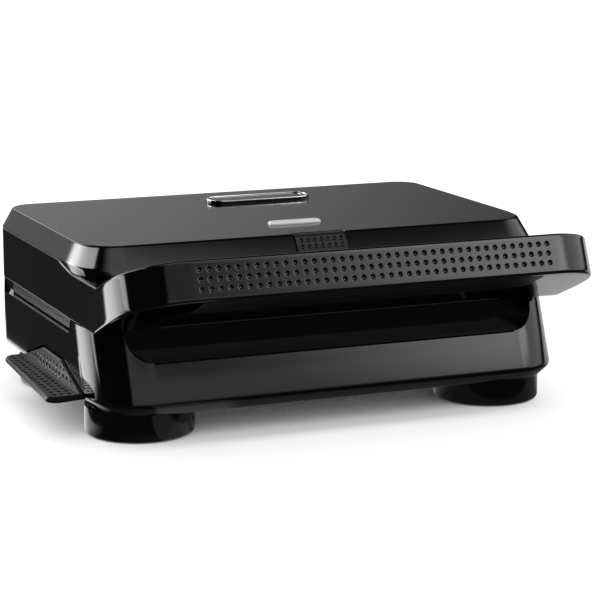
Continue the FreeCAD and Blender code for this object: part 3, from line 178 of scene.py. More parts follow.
# Finishes: the colour's name, the roughness and its spread, the grain's scale and lift, the scale of marks
FINISHES = {
    "gloss_moulding": dict(colour="shell", roughness=0.075, spread=0.03, grain=900.0, bump=0.006, marks=11.0),
    "satin_moulding": dict(colour="shell", roughness=0.10, spread=0.03, grain=2600.0, bump=0.008, marks=9.0),
    "grip_moulding": dict(colour="shell", roughness=0.09, spread=0.03, grain=900.0, bump=0.006, marks=11.0),
    "soft_edge_moulding": dict(colour="shell", roughness=0.22, spread=0.06, grain=1200.0, bump=0.03,
                               marks=16.0, bevel=0.8),
    "satin_cover": dict(colour="satin", roughness=0.42, spread=0.06, grain=1600.0, bump=0.04, marks=16.0,
                        specular=0.3),
    "tab_moulding": dict(colour="tab", roughness=0.30, spread=0.06, grain=2400.0, bump=0.05, marks=18.0,
                         specular=0.30),
    "frosted_lens": dict(colour="lens", roughness=0.22, spread=0.06, grain=1400.0, bump=0.05, marks=26.0,
                         lighter=1.3, coat=0.5),
    "bright_rim": dict(colour="rim", roughness=0.24, spread=0.05, grain=1200.0, bump=0.02, marks=30.0,
                       lighter=1.1, metallic=1.0),
    "plated_steel": dict(colour="steel", roughness=0.28, spread=0.10, grain=1800.0, bump=0.05, marks=30.0,
                         lighter=1.25, metallic=1.0, bevel=0.4),
    "plate_coating": dict(colour="coat", roughness=0.36, spread=0.08, grain=3000.0, bump=0.16, marks=16.0,
                          lighter=1.8, specular=0.35, bevel=0.8),
    "rolled_sheet": dict(colour="bright", roughness=0.30, spread=0.10, grain=1600.0, bump=0.04, marks=24.0,
                         lighter=1.15, metallic=1.0, bevel=0.4),
    "heater_sheath": dict(colour="element", roughness=0.45, spread=0.10, grain=1800.0, bump=0.12, marks=40.0,
                          lighter=1.7, metallic=0.7),
    "pad_rubber": dict(colour="rubber", roughness=0.62, spread=0.06, grain=2600.0, bump=0.14, marks=30.0,
                       lighter=1.8, specular=0.35, bevel=0.6),
    "ivory_moulding": dict(colour="ivory", roughness=0.40, spread=0.06, grain=1800.0, bump=0.05, marks=30.0,
                           lighter=1.15, bevel=0.4),
    "lacquered_board": dict(colour="board", roughness=0.32, spread=0.05, grain=1500.0, bump=0.04, marks=40.0,
                            lighter=1.5, bevel=0.2),
}

# Solids that show as they are, by the finish that each one has
SOLIDS = {
    "plate_coating": ("lower_plate", "upper_plate"),
    "rolled_sheet": ("lower_reflector", "upper_reflector"),
    "heater_sheath": ("lower_heater", "upper_heater"),
    "pad_rubber": ("foot_pads", "cord_gland"),
    "ivory_moulding": ("thermostat", "terminal_block", "thermal_fuse"),
    "lacquered_board": ("indicator_board",),
    "soft_edge_moulding": ("bottom_cover", "lever_bracket"),
    "plated_steel": ("cover_screws", "lower_posts", "upper_posts", "hinge_bracket_left",
                     "hinge_bracket_right", "hinge_pins", "lever_pin", "lever_spring", "hinge_arm_left",
                     "hinge_arm_right", "button_pin"),
}


def tint(name, words, default):
    """A colour property with its default in linear light."""
    return FloatVectorProperty(name=name, description=words, default=default, size=3, subtype="COLOR",
                               min=0.0, max=1.0)


def length(name, words, millimetres):
    """A length property whose default is given in millimetres."""
    return FloatProperty(name=name, description=words, default=millimetres * MM, min=0.0, unit="LENGTH",
                         precision=5)


class DonutMakerSizes(bpy.types.PropertyGroup):
    """Lengths and counts of the moulded details."""
    shell_edge: length("Shell Edge", "Rounding of the base shell's outer edges", 1.6)
    lid_edge: length("Lid Edge", "Rounding round the top of the lid cover", 1.3)
    grip_edge: length("Grip Edge", "Rounding along the edges of the handle", 2.6)
    dot_radius: length("Dot Radius", "Radius of one grip dimple on the handle", 1.42)
    dot_depth: length("Dot Depth", "Depth of one grip dimple on the handle", 0.95)
    dot_pitch: length("Dot Pitch", "Distance between dimples along the handle", 5.67)
    dot_columns: IntProperty(name="Dot Columns", description="Dimples in one row along the handle",
                             default=39, min=3, max=60)
    tab_dot_radius: length("Lever Dot Radius", "Radius of one dimple on the lever", 1.5)
    tab_dot_depth: length("Tab Dot Depth", "Depth of one dimple on the lever and button", 1.0)
    button_dot_radius: length("Button Dot Radius", "Radius of one dimple on the button", 1.3)
    foot_round: length("Foot Round", "Rounding of a foot's lower edge", 2.0)


class DonutMakerColours(bpy.types.PropertyGroup):
    """Colours of the finishes, in linear light."""
    shell: tint("Shell", "Glossy black of the shells", (0.0018, 0.0018, 0.0020))
    satin: tint("Satin", "Satin black of the plate below the handle", (0.0130, 0.0130, 0.0136))
    tab: tint("Tabs", "Dark grey of the lever and the button", (0.0090, 0.0090, 0.0094))
    coat: tint("Plate Coating", "Charcoal of the non-stick coating", (0.0170, 0.0165, 0.0160))
    steel: tint("Steel", "Plated steel of pins, screws and arms", (0.56, 0.56, 0.57))
    bright: tint("Bright Sheet", "Rolled sheet of the reflectors", (0.72, 0.72, 0.72))
    element: tint("Heater Sheath", "Oxidised sheath of the heating elements", (0.11, 0.10, 0.095))
    rubber: tint("Rubber", "Pads and gland", (0.0110, 0.0110, 0.0112))
    ivory: tint("Ivory", "Moulding of the electrical parts", (0.60, 0.55, 0.44))
    lens: tint("Lens", "Frosted indicator bar", (0.88, 0.89, 0.90))
    rim: tint("Badge Rim", "Bright metal round the badge", (0.42, 0.42, 0.43))
    board: tint("Board", "Circuit board", (0.030, 0.120, 0.055))


class DonutMakerStudio(bpy.types.PropertyGroup):
    """Camera place and the strengths of the studio lights."""
    azimuth: FloatProperty(name="Azimuth", description="Camera angle round the object",
                           default=-0.396364, subtype="ANGLE")
    elevation: FloatProperty(name="Elevation", description="Camera angle above the floor",
                             default=0.197920, subtype="ANGLE")
    distance: length("Distance", "Camera distance from the aim point", 1318.45)
    aim: FloatVectorProperty(name="Aim", description="Point the camera looks at", size=3,
                             default=(-0.01209, -0.046, 0.07053), subtype="TRANSLATION", unit="LENGTH")
    lens: FloatProperty(name="Focal Length", description="Camera lens", default=131.5, min=1.0,
                        unit="CAMERA")
    strip: FloatProperty(name="Strip", description="Strength of the bright panels at the left",
                         default=1.0, min=0.0)
    card: FloatProperty(name="Card", description="Strength of the broad soft card at the right",
                        default=1.0, min=0.0)


def box_of(node):
    """Lower and upper corner of a solid's box in millimetres."""
    return [np.array(corner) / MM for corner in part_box(node)]


def arc(steps):
    """Sine and cosine of equal turns from nothing to a quarter turn."""
    turn = np.linspace(0.0, np.pi / 2.0, steps)
    return np.sin(turn), np.cos(turn)


def circle(columns):
    """Equal turns once round."""
    return np.linspace(0.0, 2.0 * np.pi, columns, endpoint=False)


def half_outline(half, front, back, front_radius, back_radius, split, taper=0.0):
    """Right half of a rounded rectangle in plan, from the middle of the front to the middle of the back.

    Front points at equal shares of split, then straight to the corner; each corner turns as
    centre + radius (sine, -cosine). A tapered side draws in by taper (distance / run)^2 before the corner,
    which then starts at the slope that this leaves. Side and back points keep their stations."""
    slope = 2.0 * taper / TAPER_RUN
    centre_x = half - taper - front_radius * np.cos(slope)
    start = np.arcsin(np.clip((split - centre_x) / front_radius, 0.0, 1.0))
    turn = np.linspace(start, np.pi / 2.0 - slope, 21)
    end_y = front + front_radius * (1.0 - np.sin(slope)) + TAPER_RUN
    away = np.linspace(TAPER_RUN, 0.0, 13)[1:]
    corner_x = np.concatenate([centre_x + front_radius * np.sin(turn),
                               half - taper * (away / TAPER_RUN) ** 2])
    corner_y = np.concatenate([front + front_radius - front_radius * np.cos(turn), end_y - away])
    sine, cosine = arc(15)
    inner_x = np.linspace(0.0, split, FRONT_COLUMNS)
    outer_x = np.linspace(split, corner_x[0], 7)
    side = np.clip(SIDE_STATIONS, end_y, back - back_radius)
    rear = BACK_STATIONS * (half - back_radius) / BACK_STATIONS[0]
    x = np.concatenate([inner_x, outer_x, corner_x, np.full(len(side), half),
                        half - back_radius + back_radius * cosine, rear])
    y = np.concatenate([np.full(len(inner_x), front), np.full(len(outer_x), corner_y[0]), corner_y, side,
                        back - back_radius + back_radius * sine, np.full(len(rear), back)])
    return np.stack([x, y], axis=1)


def ring(outline, height):
    """Outline points with a height each."""
    return np.column_stack([outline, np.broadcast_to(height, len(outline))])


def mirrored(right):
    """Right-half points closed into a whole loop: the half, then its mirror image run backwards."""
    return np.concatenate([right, right[::-1] * np.array([-1.0, 1.0, 1.0])])


def loop_at(outline, height):
    """A right-half outline as a whole loop at one height."""
    return mirrored(ring(outline, height))


def soften(knots, radii, steps=5, closed=False):
    """Rounds a profile of knot rings, column by column.

    Each corner B becomes (1-t)^2 A + 2t(1-t) B + t^2 C, where A and C lie on the lines to the
    neighbouring knots, one radius from B and never past 0.48 of the way."""
    count = len(knots)
    t = np.linspace(0.0, 1.0, steps + 1)[:, None, None]
    rows = []
    for index, (corner, radius) in enumerate(zip(knots, radii)):
        if radius <= 0.0 or (not closed and index in (0, count - 1)):
            rows.append(corner[None])
            continue
        ends = []
        for other in (knots[index - 1], knots[(index + 1) % count]):
            way = other - corner
            far = np.linalg.norm(way, axis=1, keepdims=True)
            ends.append(corner + way / np.maximum(far, 1e-9) * np.minimum(radius, 0.48 * far))
        rows.append((1 - t) ** 2 * ends[0] + 2 * t * (1 - t) * corner + t ** 2 * ends[1])
    return np.concatenate(rows)


def capped(rows, first=True):
    """Rows closed by a point row at the end, and at the start where asked: the mean of the row beside it."""
    start, end = (np.broadcast_to(row.mean(axis=0), rows[:1].shape) for row in (rows[0], rows[-1]))
    return np.concatenate([start, rows, end] if first else [rows, end])


def bowls(u, v, centres_u, centres_v, radius, depth):
    """Depth of a lattice of round dimples: depth (1 - (d / radius)^2)^0.75 within each, else nothing."""
    du = np.abs(u[..., None] - centres_u).min(axis=-1)
    dv = np.abs(v[..., None] - centres_v).min(axis=-1)
    share = np.clip(1.0 - (du ** 2 + dv ** 2) / radius ** 2, 0.0, 1.0)
    return depth * share ** 0.75


def turned(radii, heights, centre, columns=72):
    """Profile (radius, height) carried round an upright axis."""
    turn = circle(columns)
    radii = np.asarray(radii)[:, None]
    x = centre[0] + radii * np.cos(turn)
    y = centre[1] + radii * np.sin(turn)
    z = np.broadcast_to(np.asarray(heights)[:, None], x.shape)
    return np.stack([x, y, z], axis=-1)


def across(x, section):
    """Rows that carry each (y, z) corner of a section along the stations x."""
    return np.stack([np.column_stack([x, np.full(len(x), y), np.full(len(x), z)]) for y, z in section])


def along(y, section):
    """Rows that carry each (x, z) of a section along the stations y; a value may change along them."""
    return np.stack([np.column_stack([np.broadcast_to(x, len(y)), y, np.broadcast_to(z, len(y))])
                     for x, z in section])


def on_slab(x, behind, below):
    """Points of the handle's slab: a distance behind its front edge along the slope, and below its top."""
    return np.stack([x, SLAB_FRONT + behind * SLAB_COS - below * SLAB_SIN,
                     SLAB_TOP - behind * SLAB_SIN - below * SLAB_COS], axis=-1)


def rounded_plan(centre, half_x, half_y, radius):
    """Rectangle with round corners: each corner's centre plus radius (cosine, sine) over its quarter turn."""
    turn = np.radians(np.arange(4)[:, None] * 90.0 + np.linspace(0.0, 90.0, 9))
    side_x = np.array([1.0, -1.0, -1.0, 1.0])[:, None] * (half_x - radius)
    side_y = np.array([1.0, 1.0, -1.0, -1.0])[:, None] * (half_y - radius)
    x = centre[0] + side_x + radius * np.cos(turn)
    y = centre[1] + side_y + radius * np.sin(turn)
    return np.stack([x.ravel(), y.ravel()], axis=1)


def pill(centre, half_length, radius, steps=24):
    """Outline of a bar with round ends: two half circles about the ends of its middle line."""
    turn = np.linspace(-np.pi / 2.0, np.pi / 2.0, steps)
    reach = half_length - radius
    x = np.concatenate([reach + radius * np.cos(turn), -reach - radius * np.cos(turn)])
    y = np.concatenate([radius * np.sin(turn), -radius * np.sin(turn)])
    return np.stack([centre[0] + x, centre[1] + y], axis=1)


def signed_power(values, power):
    """Each value's size to a power, with the value's sign."""
    return np.sign(values) * np.abs(values) ** power


def line_rise(y):
    """Rise of the line between lid cover and frame: nothing at the front, full along the sides."""
    return np.clip((y - LINE_START) / LINE_RUN, 0.0, 1.0) * (SIDE_TOP - ARM_TOP)


def lever_arch(y, gap=0.0):
    """Height of the lever's arched top, or of the opening that leaves a gap over it."""
    past_flat = np.abs(y - LEVER_MIDDLE) - ARCH_FLAT - gap
    return ARCH_TOP + gap - np.clip(past_flat / ARCH_RUN, 0.0, 1.0) * ARCH_DROP


def grid_faces(rows, columns, wrap_rows, wrap_columns, start):
    """Corner numbers of the quads of a grid, with its seams closed where asked."""
    r = np.arange(rows if wrap_rows else rows - 1)[:, None]
    c = np.arange(columns if wrap_columns else columns - 1)[None, :]
    r2 = (r + 1) % rows
    c2 = (c + 1) % columns
    quads = [r * columns + c, r * columns + c2, r2 * columns + c2, r2 * columns + c]
    return start + np.stack([np.broadcast_to(q, (len(r), c.shape[1])) for q in quads], axis=-1).reshape(-1, 4)


def make_piece(name, grids, finish, body, nodes, crease):
    """One mesh from point grids (points, seam over rows, seam over columns) in millimetres.

    Doubles are merged, faces turned outward and edges past the crease angle kept sharp."""
    points = []
    faces = []
    start = 0
    for grid, wrap_rows, wrap_columns in grids:
        rows, columns = grid.shape[:2]
        faces.append(grid_faces(rows, columns, wrap_rows, wrap_columns, start))
        points.append(grid.reshape(-1, 3))
        start += rows * columns
    points = np.concatenate(points) * MM
    faces = np.concatenate(faces)
    mesh = bpy.data.meshes.new(name)
    mesh.vertices.add(len(points))
    mesh.vertices.foreach_set("co", points.ravel())
    mesh.loops.add(faces.size)
    mesh.loops.foreach_set("vertex_index", faces.ravel())
    mesh.polygons.add(len(faces))
    mesh.polygons.foreach_set("loop_start", np.arange(0, faces.size, 4))
    mesh.update(calc_edges=True)
    shape = bmesh.new()
    shape.from_mesh(mesh)
    bmesh.ops.remove_doubles(shape, verts=shape.verts, dist=2e-6)
    bmesh.ops.dissolve_degenerate(shape, edges=shape.edges, dist=1e-7)
    bmesh.ops.recalc_face_normals(shape, faces=shape.faces)
    shape.to_mesh(mesh)
    shape.free()
    mesh.shade_smooth()
    mesh.set_sharp_from_angle(angle=np.radians(crease))
    mesh.materials.append(finish_of(finish))
    piece = bpy.data.objects.new(name, mesh)
    bpy.context.scene.collection.objects.link(piece)
    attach(piece, body)
    if nodes:
        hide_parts(*nodes)


def group_of(name, inputs, outputs):
    """An empty shader node group with named float inputs and outputs, and its two end nodes."""
    tree = bpy.data.node_groups.new(name, "ShaderNodeTree")
    for label, default in inputs:
        socket = tree.interface.new_socket(label, in_out="INPUT", socket_type="NodeSocketFloat")
        socket.default_value = default
    for label in outputs:
        tree.interface.new_socket(label, in_out="OUTPUT", socket_type="NodeSocketFloat")
    return tree, tree.nodes.new("NodeGroupInput"), tree.nodes.new("NodeGroupOutput")


def add_node(tree, kind, **values):
    """A node with its attributes or input defaults set."""
    node = tree.nodes.new(kind)
    for key, value in values.items():
        if key in node.bl_rna.properties:
            setattr(node, key, value)
        else:
            node.inputs[key.replace("_", " ")].default_value = value
    return node


def math_node(tree, operation, first, second=None):
    """A math node; each operand is a socket or a number."""
    node = add_node(tree, "ShaderNodeMath", operation=operation)
    for place, operand in enumerate((first, second)):
        if isinstance(operand, (int, float)):
            node.inputs[place].default_value = operand
        elif operand is not None:
            tree.links.new(operand, node.inputs[place])
    return node.outputs[0]


def peaks(tree, value, level, gain):
    """How far a value stands above a level, times a gain, kept between nothing and one."""
    over = math_node(tree, "MULTIPLY", math_node(tree, "SUBTRACT", value, level), gain)
    return math_node(tree, "MINIMUM", math_node(tree, "MAXIMUM", over, 0.0), 1.0)


def grain_group():
    """Moulded grain: fine noise as Height, and sparse pale flecks where a second noise peaks."""
    found = bpy.data.node_groups.get("moulded_grain")
    if found:
        return found
    tree, given, result = group_of("moulded_grain", [("Scale", 1500.0), ("Fleck Level", 0.66)],
                                   ["Height", "Fleck"])
    place = add_node(tree, "ShaderNodeTexCoord")
    fine = add_node(tree, "ShaderNodeTexNoise", Detail=3.0, Roughness=0.6)
    coarse = add_node(tree, "ShaderNodeTexNoise", Detail=1.0)
    for noise, share in ((fine, 1.0), (coarse, 0.37)):
        tree.links.new(place.outputs["Object"], noise.inputs["Vector"])
        tree.links.new(math_node(tree, "MULTIPLY", given.outputs["Scale"], share), noise.inputs["Scale"])
    fleck = peaks(tree, coarse.outputs["Fac"], given.outputs["Fleck Level"], gain=9.0)
    tree.links.new(fine.outputs["Fac"], result.inputs["Height"])
    tree.links.new(fleck, result.inputs["Fleck"])
    return tree


def marks_group():
    """Handling marks: broad soft cloud as Cloud, and thin hairline scuffs from stretched noise as Scuff."""
    found = bpy.data.node_groups.get("handling_marks")
    if found:
        return found
    tree, given, result = group_of("handling_marks", [("Scale", 14.0), ("Scuff Scale", 60.0)],
                                   ["Cloud", "Scuff"])
    place = add_node(tree, "ShaderNodeTexCoord")
    cloud = add_node(tree, "ShaderNodeTexNoise", Detail=4.0, Roughness=0.55)
    stretch = add_node(tree, "ShaderNodeMapping", Rotation=(0.3, 0.2, 0.7), Scale=(1.0, 16.0, 9.0))
    line = add_node(tree, "ShaderNodeTexNoise", Detail=2.0, Roughness=0.5)
    tree.links.new(place.outputs["Object"], cloud.inputs["Vector"])
    tree.links.new(place.outputs["Object"], stretch.inputs["Vector"])
    tree.links.new(stretch.outputs["Vector"], line.inputs["Vector"])
    tree.links.new(given.outputs["Scale"], cloud.inputs["Scale"])
    tree.links.new(given.outputs["Scuff Scale"], line.inputs["Scale"])
    tree.links.new(cloud.outputs["Fac"], result.inputs["Cloud"])
    tree.links.new(peaks(tree, line.outputs["Fac"], 0.62, gain=7.0), result.inputs["Scuff"])
    return tree


def finish_of(name):
    """The material of a named finish, made when it is first asked for."""
    return bpy.data.materials.get(name) or new_finish(name, **FINISHES[name])


def new_finish(name, colour, roughness, spread, grain, bump, marks, lighter=1.6, metallic=0.0, specular=0.5,
               coat=0.0, bevel=0.0):
    """A moulded or metal finish: the colour shifts with cloud and flecks, the roughness with cloud and
    scuffs, and the fine grain lifts the surface, over edges softened by a bevel in millimetres."""
    material = bpy.data.materials.new(name)
    material.use_nodes = True
    tree = material.node_tree
    shader = tree.nodes["Principled BSDF"]
    shader.inputs["Metallic"].default_value = metallic
    shader.inputs["Specular IOR Level"].default_value = specular
    shader.inputs["Coat Weight"].default_value = coat
    shader.inputs["Coat Roughness"].default_value = COAT_ROUGHNESS
    grains = add_node(tree, "ShaderNodeGroup", node_tree=grain_group())
    grains.inputs["Scale"].default_value = grain
    handled = add_node(tree, "ShaderNodeGroup", node_tree=marks_group())
    handled.inputs["Scale"].default_value = marks
    handled.inputs["Scuff Scale"].default_value = marks * SCUFFS_PER_MARK
    base = np.array(getattr(bpy.context.scene.donut_colours, colour))
    mix = add_node(tree, "ShaderNodeMix", data_type="RGBA")
    mix.inputs["A"].default_value = (*(base * DARKER), 1.0)
    mix.inputs["B"].default_value = (*np.minimum(base * lighter, 1.0), 1.0)
    blend = math_node(tree, "ADD", math_node(tree, "MULTIPLY", handled.outputs["Cloud"], CLOUD_SHARE),
                      math_node(tree, "MULTIPLY", grains.outputs["Fleck"], FLECK_SHARE))
    tree.links.new(blend, mix.inputs["Factor"])
    tree.links.new(mix.outputs["Result"], shader.inputs["Base Color"])
    middle = math_node(tree, "SUBTRACT", handled.outputs["Cloud"], 0.5)
    shift = math_node(tree, "ADD", math_node(tree, "MULTIPLY", middle, spread * 2.0), roughness)
    scuffed = math_node(tree, "MULTIPLY", handled.outputs["Scuff"], spread * SCUFF_SHARE)
    tree.links.new(math_node(tree, "ADD", shift, scuffed), shader.inputs["Roughness"])
    lift = add_node(tree, "ShaderNodeBump", Strength=bump, Distance=GRAIN_HEIGHT)
    tree.links.new(grains.outputs["Height"], lift.inputs["Height"])
    if bevel > 0.0:
        soft = add_node(tree, "ShaderNodeBevel", samples=4, Radius=bevel * MM)
        tree.links.new(soft.outputs["Normal"], lift.inputs["Normal"])
    tree.links.new(lift.outputs["Normal"], shader.inputs["Normal"])
    return material


class DONUT_OT_base(bpy.types.Operator):
    """Base shell: stacked plan outlines with the ledge recess, the side notches and the lever opening"""
    bl_idname = "donut.base"
    bl_label = "Base Shell"

    def wall(self, height, split, inset=0.0):
        """Plan of the leaning outer wall at a height, drawn in by an inset."""
        front = -(FRONT_AT_TOP + (BASE_TOP - height) * FRONT_LEAN)
        return half_outline(HALF_WIDTH - inset, front + inset, BACK - inset, FRONT_RADIUS - inset,
                            BACK_RADIUS - inset, split, TAPER)

    def outside(self, edge):
        """Rings and roundings from the bottom cover up the outer wall to the top of the recess.

        The recess's ends turn as half width - radius (1 - sine), at ledge + radius (1 - cosine)."""
        round_cover = half_outline(half=140.0, front=-57.5, back=128.0, front_radius=12.0, back_radius=12.0,
                                   split=100.0)
        knots = [loop_at(round_cover, BASE_BOTTOM),
                 loop_at(self.wall(BASE_EDGE, FRONT_SPLIT, EDGE_INSET), BASE_BOTTOM),
                 loop_at(self.wall(BASE_EDGE, FRONT_SPLIT), BASE_EDGE),
                 loop_at(self.wall(LEDGE, FRONT_SPLIT), LEDGE)]
        radii = [0.0, edge, edge * 1.4, 1.0]
        for sine, cosine in zip(*arc(9)):
            height = LEDGE + RECESS_RADIUS * (1.0 - cosine)
            level = loop_at(self.wall(height, RECESS_HALF - RECESS_RADIUS * (1.0 - sine)), height)
            level[FRONT_MIDDLE, 1] = RECESS_WALL
            knots.append(level)
            radii.append(0.0)
        return knots, radii

    def inside(self, notch):
        """Rings over the top edge, with the back relief and hinge niches, and down to the plate's mouth."""
        top = loop_at(self.wall(BASE_TOP, RECESS_HALF), BASE_TOP)
        top[FRONT_MIDDLE, 1] = RECESS_WALL
        x, y = top[:, 0], top[:, 1]
        niche = (y > BACK - NEAR) & (np.abs(np.abs(x) - NICHE_X) < NICHE_HALF)
        outer, inward, further = top.copy(), top.copy(), top.copy()
        outer[:, 2] -= np.maximum(y - RELIEF_START, 0.0)
        outer[niche, 2] = NICHE_FLOOR
        inward[:, 1] = np.minimum(y, RELIEF_START)
        inward[niche, 1:] = HINGE_WALL, NICHE_FLOOR
        inward[notch, 0] *= NOTCH_LIP / HALF_WIDTH
        further[:, 1] = np.minimum(y, HINGE_WALL)
        further[notch, 0] *= SEAT_HALF / HALF_WIDTH
        seat = half_outline(SEAT_HALF, SEAT_FRONT, SEAT_BACK, front_radius=15.5, back_radius=15.5,
                            split=110.0)
        mouth = half_outline(MOUTH_HALF, SEAT_FRONT + SEAT_INSET, SEAT_BACK - SEAT_INSET, front_radius=15.0,
                             back_radius=15.0, split=105.0)
        return [outer, inward, further, loop_at(seat, BASE_TOP), loop_at(seat, SEAT_FLOOR),
                loop_at(mouth, SEAT_FLOOR), loop_at(mouth, MOUTH_BOTTOM)]

    def execute(self, context):
        """The rings are ruled to each other and their edges rounded.

        Rings above the notches and the back relief are brought down to them, and rings below the lever's
        opening are lifted to its arch."""
        knots, radii = self.outside(context.scene.donut_sizes.shell_edge / MM)
        x, y = loop_at(self.wall(BASE_TOP, RECESS_HALF), BASE_TOP)[:, :2].T
        notch = (np.abs(x) > NOTCH_SIDE) & (y > NOTCH_FRONT) & (y < NOTCH_BACK)
        inner_knots = self.inside(notch)
        knots += inner_knots
        radii += [1.4, 0.5, 0.0, 0.5, 0.0, 0.5, 0.0]
        slope = BASE_TOP - np.clip((y - NOTCH_FRONT) / NOTCH_RUN, 0.0, 1.0) * NOTCH_DROP
        notch_top = np.where(notch, slope, CLEAR)
        back_top = np.where(y > RELIEF_START, inner_knots[0][:, 2], CLEAR)
        # The notches lower every ring but the mouth's two, and the relief those up to the outer top edge.
        for level in knots[:-2]:
            level[:, 2] = np.minimum(level[:, 2], notch_top)
        for level in knots[:-6]:
            level[:, 2] = np.minimum(level[:, 2], back_top)
        cover_ring, edge_ring, wall_ring = knots[:3]
        wall_foot = wall_ring[:, :2]
        reach = ARCH_FLAT + OPENING_GAP + ARCH_RUN
        opening = (wall_foot[:, 0] < OPENING_SIDE) & (np.abs(wall_foot[:, 1] - LEVER_MIDDLE) < reach)
        cover_ring[opening, 0] = LEVER_INSIDE
        cover_ring[opening, 1] = wall_foot[opening, 1]
        edge_ring[opening, :2] = wall_foot[opening]
        arch = lever_arch(wall_foot[opening, 1], OPENING_GAP)
        for level in knots:
            level[opening, 2] = np.maximum(level[opening, 2], arch)
        make_piece("base_body", [(soften(knots, radii), True, True)], "gloss_moulding", "base",
                   ["base_shell"], crease=32.0)
        return {"FINISHED"}


class DONUT_OT_feet(bpy.types.Operator):
    """Four round feet: a profile turned about an upright axis"""
    bl_idname = "donut.feet"
    bl_label = "Feet"

    def execute(self, context):
        """Lower edge rounds as radius (1 - sine, 1 - cosine) below a straight wall."""
        rounding = context.scene.donut_sizes.foot_round / MM
        pad_gap = 0.4
        wall_top = 6.0
        sine, cosine = arc(9)
        for node in ("foot_front_left", "foot_front_right", "foot_back_left", "foot_back_right"):
            lo, hi = box_of(node)
            radius = (hi[0] - lo[0]) / 2.0
            radii = np.concatenate([[0.0], radius - rounding + rounding * sine, [radius, radius, 0.0]])
            heights = np.concatenate([[pad_gap], pad_gap + rounding - rounding * cosine,
                                      [hi[2] - wall_top, hi[2], hi[2]]])
            foot = turned(radii, heights, (lo + hi) / 2.0)
            make_piece(node + "_turned", [(foot, False, True)], "gloss_moulding", "base", [node],
                       crease=50.0)
        return {"FINISHED"}


